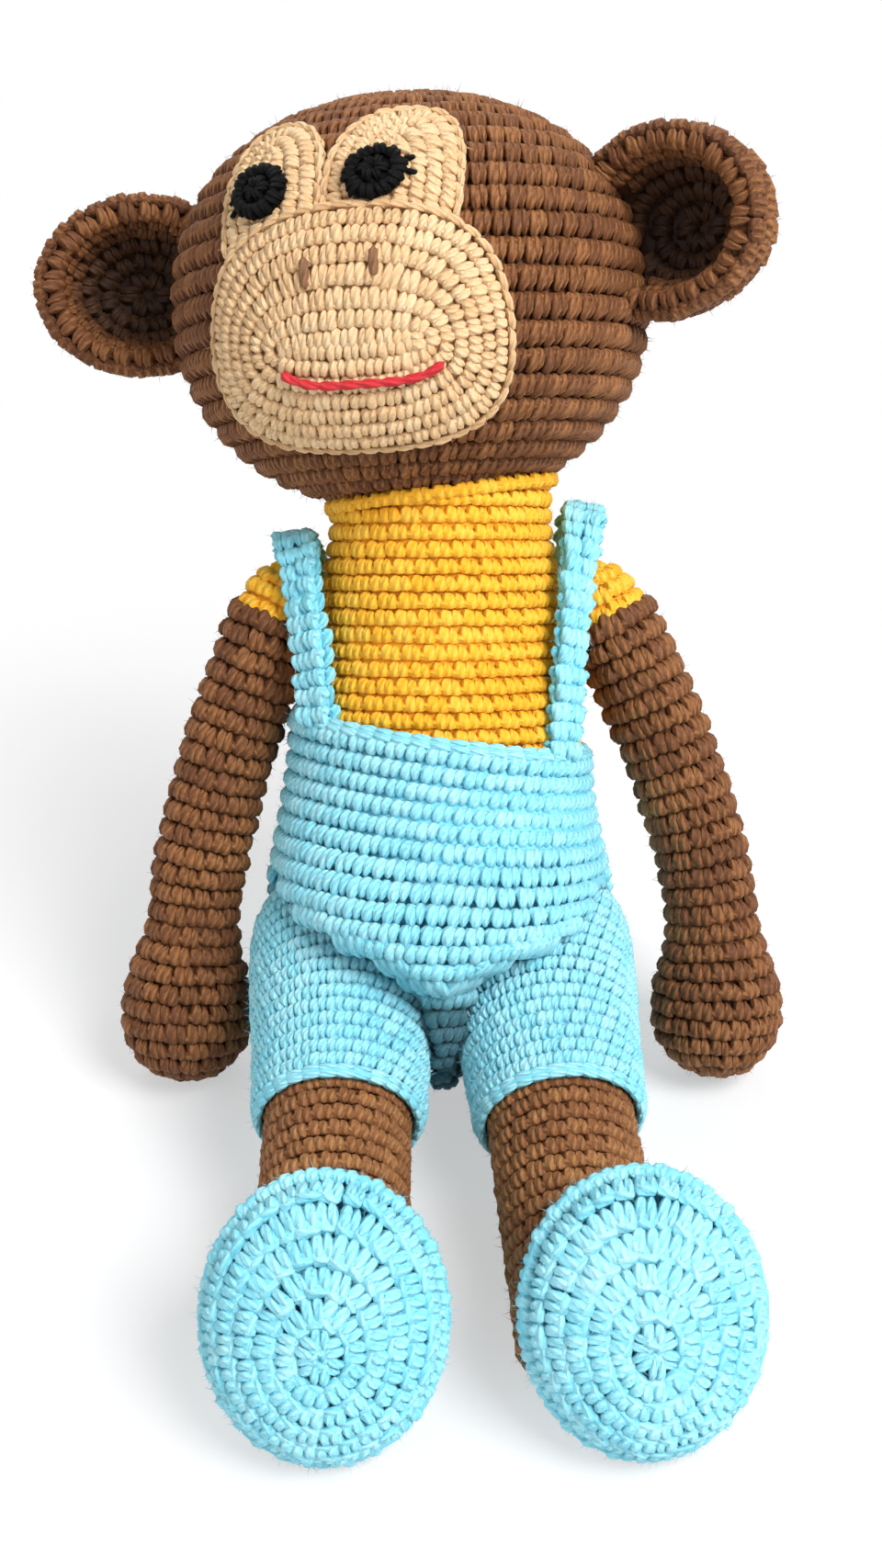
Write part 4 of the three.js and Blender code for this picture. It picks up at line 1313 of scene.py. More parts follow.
@dataclass
class Head(Part):
    """The head with its ears and its face, in millimetres and degrees."""

    ROWS = Gauge(pitch=5.9, width=4.4, depth=1.7, overlap=1.06, shape=Shape.TOOTH, shingle=-8)
    EAR_ROWS = Gauge(pitch=4.8, width=5.1, depth=1.8, uneven=0.14)
    FACE_ROWS = Gauge(pitch=3.65, width=3.85, depth=1.15, overlap=1.24, uneven=0.14, shape=Shape.TOOTH)
    FACE_EDGE = Gauge(pitch=4.0, width=3.0, depth=1.0, shape=Shape.CHAIN)
    PUPIL_ROWS = Gauge(pitch=3.2, width=3.3, depth=1.1, uneven=0.16)

    sizes: HeadSizes = HeadSizes()
    crown_hole: float = 2.4
    neck_margin: float = 0.5
    # Share of a patch's width that the head's stitches reach in under it
    under_patch: float = 0.86
    patch_margin: float = 0.4
    patch_sunk: float = 0.5
    edge_flare: float = 0.5
    muzzle_width: float = 65.5
    muzzle_height: float = 50.5
    muzzle_fullness: float = 2.4
    muzzle_rise: float = 5.0
    muzzle_aside: float = 3.3
    muzzle_latitude: float = -13.0
    muzzle_chain: float = 13.0
    muzzle_lean: float = 5.0
    muzzle_start: float = -0.3
    eye_widths: Pair = (28.0, 23.5)
    eye_height: float = 46.0
    eye_fullness: float = 2.3
    eye_rise: float = 2.6
    eye_latitude: float = 21.0
    eye_gap: float = 1.2
    eyes_aside: float = 1.4
    eye_start: float = 0.6
    eye_edge_sunk: float = 0.3
    pupil_spacing: float = 24.4
    pupils_aside: float = 2.4
    pupil_latitude: float = 23.0
    pupil_width: float = 13.0
    pupil_fullness: float = 2.0
    pupil_rise: float = 2.2
    pupil_margin: float = 0.2
    pupil_sunk: float = 0.3
    nostril_spacing: float = 13.5
    nostril_length: float = 5.0
    nostril_latitude: float = 2.0
    nostril_sunk: float = 0.7
    mouth_width: float = 32.0
    mouth_aside: float = 5.5
    mouth_latitude: float = -22.0
    mouth_curve: float = 3.5
    mouth_dip: float = 1.0
    mouth_stitch: float = 4.6
    face_yarn: float = 1.0
    lash_yarn: float = 0.6
    lash_root: float = 0.4
    lash_length: float = 2.2
    lash_droop: float = 0.5
    lash_lift: float = 0.8
    lash_sink: float = 0.8
    lash_angles: tuple[Pair, Pair] = ((26.0, -4.0), (182.0, 204.0))
    ear_width: float = 49.0
    ear_height: float = 40.5
    ear_depth: float = 23.0
    ear_wall: float = 5.0
    ear_outs: Pair = (10.0, 11.0)
    ear_latitudes: Pair = (13.0, 10.5)
    ear_angles: Pair = (80.0, 82.0)
    ear_opening: float = 20.0
    ear_start: float = 1.6
    ear_end: float = 1.2
    ear_seam: float = 0.6
    # How dark the painted shade inside the cup is, and the depths between which it darkens
    ear_shade: float = 0.8
    ear_shades: Pair = (1.0, 13.0)

    def build(self) -> None:
        """Makes the head, its face and its ears."""
        muzzle = self.muzzle()
        eyes = {side: self.eye(side) for side in Side}
        self.skull((muzzle, *eyes.values()))
        self.muzzle_piece(muzzle)
        for side in Side:
            self.eye_piece(side, eyes[side], muzzle)
            self.pupil(side)
            self.ear(side)
            self.nostril(side, muzzle)
        self.mouth(muzzle)

    def muzzle(self) -> Patch:
        """The muzzle's form."""
        return Patch(self.sizes, self.muzzle_aside, self.muzzle_latitude, self.muzzle_width,
                     self.muzzle_height, self.sizes.seam_gap, self.muzzle_rise, self.muzzle_fullness,
                     self.muzzle_chain, self.muzzle_lean)

    def eye(self, side: Side) -> Patch:
        """The form of an eye patch."""
        width = side.of(self.eye_widths)
        across = side.value * (width + self.eye_gap) / 2 - self.eyes_aside
        return Patch(self.sizes, across, self.eye_latitude, width, self.eye_height,
                     self.sizes.seam_gap, self.eye_rise, self.eye_fullness)

    def skull(self, patches: Sequence[Patch]) -> None:
        """The brown ball of the head, open where the face is sewn on.

        Args:
            patches: the forms of the face.
        """
        sizes = self.sizes
        share = (sizes.opening / (sizes.width / 2)) ** (sizes.fullness / 2)
        latitudes = np.linspace(math.pi / 2, -math.acos(share), 300)
        form = Lathed(columns(*sizes.curve(latitudes)), sizes.matrix, outward=-1)
        worked = form.worked(self.ROWS, self.crown_hole, form.length - self.neck_margin, Tip.START)
        hidden = np.minimum.reduce([patch.around(worked.place) for patch in patches])
        self.fabric("head", worked.where(hidden > self.under_patch), self.ROWS, BROWN,
                    Seat("head", ("head_skin", "head_stuffing"), fill=0.9, inset=1.2, sunk=0.9))

    def edging(self, patch: Patch) -> Stitches:
        """The chain along a patch's edge.

        Args:
            patch: the patch's form.

        Returns:
            The chain's stitches.
        """
        turn = circle(120)
        edge = np.full(turn.shape, patch.slim)
        flat = patch.laid(edge, turn, 0.0, Tip.START)
        outward = unit(patch.at(edge, turn) - patch.at(edge - 1, turn))
        facing = unit(flat.facing + self.edge_flare * outward)
        return ringed(flat.place, facing, self.FACE_EDGE.width, self.FACE_EDGE.pitch)

    def muzzle_piece(self, muzzle: Patch) -> None:
        """The muzzle with the chain along its edge.

        Args:
            muzzle: its form.
        """
        worked = muzzle.worked(self.FACE_ROWS, self.muzzle_start, muzzle.slim - self.patch_margin, Tip.START)
        piece = self.box.crocheted("muzzle", worked.sunk(self.patch_sunk), self.FACE_ROWS, BEIGE)
        edge = self.box.crocheted("muzzle_edge", self.edging(muzzle), self.FACE_EDGE, BEIGE)
        self.settle(self.box.joined(piece, [edge]), BEIGE,
                    Seat("head", ("muzzle_patch",), fill=0.6, inset=0.9))

    def eye_piece(self, side: Side, patch: Patch, muzzle: Patch) -> None:
        """An eye patch with the chain along its edge, down to the muzzle.

        Args:
            side: left or right.
            patch: its form.
            muzzle: the form that it ends at.
        """
        worked = patch.worked(self.FACE_ROWS, self.eye_start, patch.slim - self.patch_margin, Tip.START)
        worked = worked.where(muzzle.around(worked.place) > 1).sunk(self.patch_sunk)
        edge = self.edging(patch)
        edge = edge.where(muzzle.around(edge.place) > 1).sunk(self.eye_edge_sunk)
        piece = self.box.crocheted(f"eye_white_{side.tag}", worked, self.FACE_ROWS, BEIGE)
        rim = self.box.crocheted("eye_edge", edge, self.FACE_EDGE, BEIGE)
        self.settle(self.box.joined(piece, [rim]), BEIGE,
                    Seat("head", (f"eye_patch_{side.tag}",), fill=0.4, inset=0.6))

    def pupil(self, side: Side) -> None:
        """A black disc on an eye patch, with its lashes.

        Args:
            side: left or right.
        """
        base = 2 * self.sizes.seam_gap + self.eye_rise
        across = side.value * self.pupil_spacing / 2 - self.pupils_aside
        disc = Patch(self.sizes, across, self.pupil_latitude, self.pupil_width, self.pupil_width,
                     base, self.pupil_rise, self.pupil_fullness)
        worked = disc.worked(self.PUPIL_ROWS, self.pupil_margin, disc.slim + self.pupil_margin, Tip.START)
        piece = self.box.crocheted(f"eye_{side.tag}", worked.sunk(self.pupil_sunk), self.PUPIL_ROWS, BLACK)
        self.settle(self.box.joined(piece, self.lashes(side, disc)), BLACK,
                    Seat("head", (f"pupil_{side.tag}",), fill=0.4, inset=0.5))

    def lashes(self, side: Side, disc: Patch) -> list[Piece]:
        """Short black stitches beside a pupil.

        Args:
            side: left or right.
            disc: the pupil's form.

        Returns:
            The lashes.
        """
        made = []
        share = np.linspace(0, 1, 6)
        reach = disc.slim + mix(-self.lash_root, self.lash_length, share)
        out = disc.base + self.lash_lift - self.lash_sink * share
        for angle in np.radians(side.of(self.lash_angles)):
            u, v = reach * math.cos(angle), reach * math.sin(angle) - self.lash_droop * share
            path = self.sizes.on_face(disc.across + u, disc.latitude + v * self.sizes.degrees_per_mm, out)
            made.append(self.box.cord("lash", path, self.lash_yarn, BLACK, self.forward))
        return made

    def ear(self, side: Side) -> None:
        """A cup that opens forwards and inwards, worked from its back round the rim and inside, with painted
        shade in it.

        Args:
            side: left or right.
        """
        half = self.ear_height / 2
        bend = np.linspace(0, math.pi / 2, 60)
        outer = columns(half * np.sin(bend), -self.ear_depth * np.cos(bend))
        lip = np.array([[half - self.ear_wall / 2, self.ear_wall / 2]])
        hole, depth = half - self.ear_wall, self.ear_depth - self.ear_wall
        inner = columns(hole * np.sin(bend), -depth * np.cos(bend))[::-1]
        slim = np.diag([self.ear_width / self.ear_height, 1, 1, 1])
        form = Lathed(np.concatenate([outer, lip, inner]), self.ear_matrix(side) @ slim @ TO_FRONT,
                      seam=-side.value * math.pi / 2)
        worked = form.worked(self.EAR_ROWS, self.ear_start, form.length - self.ear_end, Tip.END)
        worked = worked.where(self.sizes.depth(worked.place, self.ear_seam) > 1)
        middle = np.array([half, half, self.ear_depth]) - self.ear_wall / 2

        def hollow(places: Array) -> Array:
            """Painted shade, by how deep places lie in the cup."""
            local = within(form.matrix, places)
            inside = np.linalg.norm(local / middle, axis=1) < 1
            return self.ear_shade * inside * smooth(-local[:, 2], *self.ear_shades)

        self.fabric(f"cup_ear_{side.tag}", worked, self.EAR_ROWS, BROWN,
                    Seat("head", (f"ear_{side.tag}",), fill=0.5, inset=1.2, sunk=0.8, shade=hollow))

    def ear_matrix(self, side: Side) -> Array:
        """Place of an ear.

        Args:
            side: left or right.

        Returns:
            The matrix of the middle of its rim.
        """
        radius, height = self.sizes.curve(math.radians(side.of(self.ear_latitudes)))
        reach = float(radius) + side.of(self.ear_outs)
        x, y, z = polar(reach, side.value * math.radians(side.of(self.ear_angles)), float(height))
        return self.sizes.matrix @ shift(x, y, z) @ turned("Z", -side.value * self.ear_opening)

    @property
    def forward(self) -> Array:
        """The way that the face looks."""
        return -self.sizes.matrix[:3, 1]

    def on_muzzle(self, muzzle: Patch, across: Array, latitude: Array) -> Array:
        """Middle line of a yarn that lies on the muzzle.

        Args:
            muzzle: its form.
            across: sideways, in millimetres.
            latitude: up, in degrees.

        Returns:
            The line's points.
        """
        u = across - muzzle.across
        v = (latitude - muzzle.latitude) / self.sizes.degrees_per_mm
        out = muzzle.over(np.minimum(muzzle.share(u, v), 1)) + self.sizes.seam_gap + self.face_yarn
        return self.sizes.on_face(across, latitude, out)

    def nostril(self, side: Side, muzzle: Patch) -> None:
        """A short upright stitch.

        Args:
            side: left or right.
            muzzle: the form that it is sewn on.
        """
        half = self.nostril_length / 2 * self.sizes.degrees_per_mm
        share = np.linspace(-1, 1, 12)
        across = np.full(share.shape, muzzle.across + side.value * self.nostril_spacing / 2)
        path = self.on_muzzle(muzzle, across, self.nostril_latitude + share * half)
        path = path - self.forward * self.nostril_sunk
        piece = self.box.cord(f"nostril_{side.tag}", path, self.face_yarn, DARK, self.forward)
        self.settle(piece, DARK, Seat("head", (f"nostril_stitch_{side.tag}",)))

    def mouth(self, muzzle: Patch) -> None:
        """One red yarn, turned up at its ends.

        Args:
            muzzle: the form that it is sewn on.
        """
        share = np.linspace(-1, 1, 40)
        lift = (self.mouth_curve * share ** 4 - self.mouth_dip * share) * self.sizes.degrees_per_mm
        across = self.mouth_aside + share * self.mouth_width / 2
        path = self.on_muzzle(muzzle, across, self.mouth_latitude + lift)
        piece = self.box.cord("mouth", path, self.face_yarn, RED, self.forward, self.mouth_stitch)
        self.settle(piece, RED, Seat("head", ("mouth_stitch",)))


@dataclass(frozen=True)
class LegSizes:
    """A leg from its hip, with its trouser leg and shoe, in millimetres and degrees."""

    side: Side
    torso: TorsoSizes = TorsoSizes()
    hip_spacing: float = 45.0
    ball: float = 22.6
    ahead: float = 10.0
    slope: float = 12.0
    splays: Pair = (5.0, -0.5)
    travel: float = 52.0
    trouser: float = 47.0
    cuff: float = 19.4
    leg: float = 15.8
    # Shares of the trouser leg between which the thigh narrows to the leg
    narrows: Pair = (0.4, 0.9)
    shoe_width: float = 46.0
    shoe_length: float = 54.5
    shoe_depth: float = 37.0
    shoe_fullness: float = 2.5
    sole_rise: float = 5.0
    pitch: float = 49.0
    sole_ahead: float = 106.0
    sole_up: float = 12.0
    outs: Pair = (9.0, 0.0)
    ridge: float = 1.2

    @property
    def splay(self) -> float:
        """Turn of this leg to the side."""
        return self.side.of(self.splays)

    @property
    def hip(self) -> Array:
        """Place of the hip."""
        x = self.side.value * self.hip_spacing / 2
        return np.array([x, -self.torso.hips_forward - self.ahead, self.torso.hips_height])

    @property
    def matrix(self) -> Array:
        """Place of the leg, whose axis is -Y."""
        return shift(*self.hip) @ turned("X", self.slope) @ turned("Z", self.splay)

    @property
    def shoe_matrix(self) -> Array:
        """Place of the middle of the sole; the shoe reaches back along +Y."""
        out = self.side.of(self.outs)
        return self.matrix @ shift(out, -self.sole_ahead, self.sole_up) @ turned("X", -self.pitch)

    @property
    def shoe_mean(self) -> float:
        """Radius of a round sole of the shoe's mean size."""
        return (self.shoe_width + self.shoe_length) / 4

    @property
    def shoe_stretch(self) -> Pair:
        """What makes a round sole as wide and as long as the shoe."""
        return (self.shoe_width / 2 / self.shoe_mean, self.shoe_length / 2 / self.shoe_mean)

    def trouser_radius(self, along: Array, out: Number = 0.0) -> Array:
        """Radius of the trouser leg, round at the hip.

        Args:
            along: distance from the hip.
            out: distance that the form is moved out by.

        Returns:
            The radius.
        """
        ball = np.sqrt(np.maximum((self.ball + out) ** 2 - along ** 2, 0))
        tube = out + mix(self.ball, self.cuff, smooth(along, 0, self.trouser))
        return np.where(along <= 0, ball, tube)

    def leg_radius(self, along: Array) -> Array:
        """Radius of the leg in and under the trouser leg, at a distance from the hip."""
        thigh = self.trouser_radius(along, -self.torso.garment - self.torso.seam_gap)
        return mix(thigh, self.leg, smooth(along / self.trouser, *self.narrows))

    def swept(self, places: Array, margin: Number) -> Array:
        """True for places that the trouser leg passes through as it swings.

        Args:
            places: in the frame.
            margin: room round the trouser leg.

        Returns:
            One truth for each place.
        """
        local = places - self.hip
        down = np.arctan2(-local[:, 2], -local[:, 1])
        low, high = math.radians(self.slope), math.radians(self.slope + self.travel)
        off = down - np.clip(down, low, high)
        reach = np.hypot(local[:, 1], local[:, 2])
        along, lift = reach * np.cos(off), reach * np.sin(off)
        across = local[:, 0] - along * math.tan(math.radians(self.splay))
        tube = np.hypot(across, lift) < self.trouser_radius(np.maximum(along, 0), margin)
        ball = np.linalg.norm(local, axis=1) < self.ball + margin
        return ball | (tube & (along > 0) & (along < self.trouser))

    def in_shoe(self, places: Array, out: float) -> Array:
        """True for places inside the shoe's form, moved out by a distance.

        Args:
            places: in the frame.
            out: the distance.

        Returns:
            One truth for each place.
        """
        local = within(self.shoe_matrix, places)
        wide, long = self.shoe_width / 2 + out, self.shoe_length / 2 + out
        across = np.hypot(local[:, 0] / wide, local[:, 2] / long)
        depth = np.maximum(local[:, 1], 0) / (self.shoe_depth + out)
        return (across ** self.shoe_fullness + depth ** self.shoe_fullness < 1) & (local[:, 1] > -out)


@dataclass
class Leg(Part):
    """A leg with its trouser leg and its shoe, in millimetres."""

    TROUSER_ROWS = Gauge(pitch=3.6, width=3.8, depth=1.05, shape=Shape.TOOTH, drift=0.45)
    LEG_ROWS = Gauge(pitch=4.3, width=4.5, depth=1.2)
    SHOE_ROWS = Gauge(pitch=4.5, width=4.7, depth=1.4, overlap=1.18, uneven=0.17, shape=Shape.PLUMP)
    CHAIN = Gauge(pitch=3.8, width=3.0, depth=0.9, uneven=0.07, shape=Shape.CHAIN)
    RIDGE = Gauge(pitch=4.6, width=5.4, depth=1.2, uneven=0.1, shape=Shape.CHAIN)

    sizes: LegSizes
    # Shares of the hip's ball and of the trouser leg where the trousers and the shin start
    trouser_start: float = 0.8
    shin_start: float = 0.82
    trouser_over: float = 1.2
    cuff_flare: float = 0.5
    # Lowest heights of the stitches
    shin_floor: float = 0.5
    shoe_floor: float = 0.3
    ridge_floor: float = 0.8
    upper_start: float = 0.4
    upper_end: float = 1.5
    # How far the upper goes into the leg, and where the leg ends over the sole
    leg_grip: float = 2.0
    leg_end: float = 8.0
    sole_hole: float = 1.2
    # How far the rounds of the sole start below its middle, and its height in shares of its rise
    sole_start: float = 5.5
    sole_edge: float = 0.35
    sole_crown: float = 2.1
    sole_fullness: float = 2.2
    ridge_ahead: float = 14.0

    def build(self) -> None:
        """Makes the trouser leg, the leg and the shoe."""
        self.trousers()
        self.cuff()
        self.shin()
        self.upper()
        self.sole()
        self.ridge()

    @property
    def body(self) -> str:
        """The body that this leg rides on."""
        return self.own("leg")

    def own(self, name: str) -> str:
        """A name with this leg's ending."""
        return f"{name}_{self.sizes.side.tag}"

    def trousers(self) -> None:
        """The trouser leg."""
        sizes = self.sizes
        bend = -sizes.ball * np.cos(np.linspace(0, math.pi / 2, 40))
        along = np.concatenate([bend, np.linspace(0, sizes.trouser, 60)[1:]])
        form = Lathed(columns(sizes.trouser_radius(along), along), sizes.matrix @ TO_FRONT)
        start = form.run_at(-sizes.ball * self.trouser_start)
        worked = form.worked(self.TROUSER_ROWS, start, form.length + self.trouser_over, Tip.START)
        self.fabric(self.own("trousers"), worked, self.TROUSER_ROWS, BLUE,
                    Seat(self.body, (self.own("trouser_leg"),), fill=0.5, inset=1.0, sunk=0.7))

    def cuff(self) -> None:
        """The chain along the trouser leg's cuff."""
        sizes, torso = self.sizes, self.sizes.torso
        angle = circle(60)
        spread = columns(np.cos(angle), 0, np.sin(angle))
        ahead = np.array([0, sizes.trouser + torso.seam_gap + torso.edge_yarn, 0])
        ring = moved(sizes.matrix, spread * (sizes.cuff - torso.garment / 2) - ahead)
        facing = unit((spread - np.array([0, self.cuff_flare, 0])) @ sizes.matrix[:3, :3].T)
        worked = ringed(ring, facing, self.CHAIN.width, self.CHAIN.pitch)
        self.fabric(self.own("cuff"), worked, self.CHAIN, BLUE,
                    Seat(self.body, (self.own("cuff_edge"),), inset=0.5))

    def shin(self) -> None:
        """The brown leg between the cuff and the shoe."""
        sizes = self.sizes
        along = np.linspace(0, sizes.sole_ahead, 120)
        form = Lathed(columns(sizes.leg_radius(along), along), sizes.matrix @ TO_FRONT)
        start = form.run_at(sizes.trouser * self.shin_start)
        worked = form.worked(self.LEG_ROWS, start, form.length, Tip.END)
        keep = ~sizes.in_shoe(worked.place, sizes.torso.seam_gap)
        keep &= worked.place[:, 2] > self.shin_floor
        keep &= within(sizes.shoe_matrix, worked.place)[:, 1] > 0
        nodes = (self.own("leg_skin"), self.own("leg_stuffing"))
        # The shins take the copy of the brown yarn that is painted lighter
        self.fabric(self.own("shin"), worked.where(keep), self.LEG_ROWS, PAINTED_LIGHT_BROWN,
                    Seat(self.body, nodes, fill=0.8, inset=1.2, sunk=0.7))

    def upper(self) -> None:
        """The shoe's upper, open where the leg goes in."""
        sizes = self.sizes
        depth = sizes.shoe_depth * np.sin(np.linspace(0, math.pi / 2, 120))
        left = np.maximum(1 - (depth / sizes.shoe_depth) ** sizes.shoe_fullness, 0)
        radius = sizes.shoe_mean * left ** (1 / sizes.shoe_fullness)
        form = Lathed(columns(radius, depth), sizes.shoe_matrix @ TO_REAR, sizes.shoe_stretch)
        worked = form.worked(self.SHOE_ROWS, self.upper_start, form.length - self.upper_end, Tip.END)
        leg = within(sizes.matrix, worked.place)
        in_leg = np.hypot(leg[:, 0], leg[:, 2]) < sizes.leg - self.leg_grip
        in_leg &= leg[:, 1] > -sizes.sole_ahead + self.leg_end
        keep = ~in_leg & (worked.place[:, 2] > self.shoe_floor)
        nodes = (self.own("shoe_upper"), self.own("shoe_stuffing"))
        self.fabric(self.own("shoe"), worked.where(keep), self.SHOE_ROWS, FLUFFY_BLUE,
                    Seat(self.body, nodes, fill=0.9, inset=1.2, sunk=0.9))

    def sole(self) -> None:
        """The shoe's sole, worked in rounds."""
        sizes = self.sizes
        share = np.linspace(0, 1, 80)
        crown = np.sqrt(np.maximum(1 - share ** self.sole_fullness, 0))
        face = -sizes.torso.seam_gap - sizes.sole_rise * (self.sole_edge + self.sole_crown * crown)

        def lowered(local: Array) -> Array:
            """Moves the inner rounds down the sole."""
            wide, long = sizes.shoe_stretch
            away = np.hypot(local[:, 0] / wide, local[:, 1] / long) / sizes.shoe_mean
            drop = self.sole_start * (1 - away ** 2)
            return local + columns(0, drop, 0)

        form = Lathed(columns(sizes.shoe_mean * share, face), sizes.shoe_matrix @ TO_REAR,
                      sizes.shoe_stretch, lowered)
        worked = form.worked(self.SHOE_ROWS, self.sole_hole, form.length, Tip.START)
        worked = worked.where(worked.place[:, 2] > self.shoe_floor)
        self.fabric(self.own("sole"), worked, self.SHOE_ROWS, FLUFFY_BLUE,
                    Seat(self.body, (self.own("shoe_sole"),), fill=0.7, inset=1.0, sunk=0.7))

    def ridge(self) -> None:
        """The round of stitches where the sole meets the upper."""
        sizes = self.sizes
        gap = sizes.torso.seam_gap
        grow = sizes.ridge + gap
        angle = circle(80)
        wide, long = sizes.shoe_width / 2 + grow, sizes.shoe_length / 2 + grow
        spread = columns(wide * np.cos(angle), -gap, long * np.sin(angle))
        facing = spread * np.array([1, 0, 1]) - np.array([0, self.ridge_ahead, 0])
        facing = unit(facing @ sizes.shoe_matrix[:3, :3].T)
        worked = ringed(moved(sizes.shoe_matrix, spread), facing, width=self.RIDGE.pitch,
                        pitch=self.RIDGE.width, upright=True)
        worked = worked.where(worked.place[:, 2] > self.ridge_floor)
        self.fabric(self.own("ridge"), worked, self.RIDGE, FLUFFY_BLUE,
                    Seat(self.body, (self.own("sole_ridge"),), inset=0.4, sunk=0.9))


@dataclass(frozen=True)
class ArmSizes:
    """An arm from its shoulder, in millimetres and degrees."""

    side: Side
    torso: TorsoSizes = TorsoSizes()
    length: float = 118.0
    radius: float = 10.4
    hand: float = 15.0
    hand_length: float = 40.0
    splays: Pair = (14.2, 11.8)
    bows: Pair = (9.5, 6.8)
    sleeve: float = 2.5
    ball: float = 9.4
    swing_gap: float = 0.7
    # Where the arm has its full radius, in sleeves, and where the hand is full, in its radius
    full_after: float = 1.8
    full_before: float = 1.2

    @property
    def matrix(self) -> Array:
        """Place of the shoulder."""
        height = self.torso.length * self.torso.shoulder_at
        out = float(self.torso.radius(height)) + self.ball + self.swing_gap
        return self.torso.matrix @ shift(self.side.value * out, 0, height)

    def middle(self, along: Array) -> Array:
        """Middle of the arm at a distance from the shoulder."""
        splay = math.radians(self.side.of(self.splays))
        out = along * math.sin(splay) + self.side.of(self.bows) * np.sin(math.pi * along / self.length)
        return columns(self.side.value * out, 0, -along * math.cos(splay))

    def thickness(self, along: Array) -> Array:
        """Radius of the arm, round over the shoulder and at the finger tips.

        Args:
            along: distance from the shoulder.

        Returns:
            The radius.
        """
        upper = mix(self.ball, self.radius, smooth(along, 0, self.sleeve * self.full_after))
        full = self.length - self.hand * self.full_before
        swell = smooth(along, self.length - self.hand_length, full)
        close = np.maximum(along - self.length + self.hand, 0) / self.hand
        tube = mix(upper, self.hand, swell) * np.sqrt(np.maximum(1 - close ** 2, 0))
        return np.where(along < 0, np.sqrt(np.maximum(self.ball ** 2 - along ** 2, 0)), tube)


@dataclass
class ArmForm(Form):
    """A bowed tube with round ends."""

    sizes: ArmSizes
    along: Array = field(init=False)
    runs: Array = field(init=False)

    def __post_init__(self) -> None:
        """Measures the arm's outline."""
        sizes = self.sizes
        bend = np.linspace(0, math.pi / 2, 40)
        wrist = sizes.length - sizes.hand
        tube = np.linspace(0, wrist, 120)[1:-1]
        self.along = np.concatenate([-sizes.ball * np.cos(bend), tube, wrist + sizes.hand * np.sin(bend)])
        self.runs = spans(columns(self.along, sizes.thickness(self.along)))

    def run_at(self, along: float) -> float:
        """Run at a distance from the shoulder."""
        return float(np.interp(along, self.along, self.runs))

    def at(self, run: Array, turn: Array) -> Array:
        """Points of the surface.

        Args:
            run: from row to row.
            turn: along a row.

        Returns:
            One point for each.
        """
        along = np.interp(run, self.runs, self.along)
        radius = self.sizes.thickness(along)[..., None]
        step = unit(self.sizes.middle(along + 1) - self.sizes.middle(along - 1))
        fore = np.broadcast_to(np.array([0.0, 1.0, 0.0]), step.shape)
        across = np.cross(fore, step)
        turn = turn[..., None]
        local = self.sizes.middle(along) + radius * (across * np.cos(turn) + fore * np.sin(turn))
        return moved(self.sizes.matrix, local)


@dataclass
class Arm(Part):
    """An arm with its hand and its sleeve, in millimetres."""

    ROWS = Gauge(pitch=4.75, width=5.0, depth=1.35, overlap=1.1, uneven=0.16, shingle=-3)

    sizes: ArmSizes
    end_hole: float = 1.5
    yarn_change: float = 0.8

    def build(self) -> None:
        """Makes the sleeve and the arm, in one spiral that changes its yarn."""
        form = ArmForm(self.sizes)
        tag = self.sizes.side.tag
        body = f"arm_{tag}"
        change = form.run_at(self.sizes.sleeve)
        worked = form.worked(self.ROWS, self.end_hole, change + self.yarn_change, Tip.END)
        self.fabric(f"sleeve_cap_{tag}", worked, self.ROWS, YELLOW,
                    Seat(body, (f"sleeve_{tag}",), fill=0.7, inset=1.2, sunk=1.4))
        end = float(form.runs[-1]) - self.end_hole
        worked = form.worked(self.ROWS, change - self.yarn_change, end, Tip.END)
        self.fabric(f"arm_and_hand_{tag}", worked, self.ROWS, BROWN,
                    Seat(body, (f"arm_skin_{tag}", f"arm_stuffing_{tag}"), fill=0.8, inset=1.2, sunk=0.7))


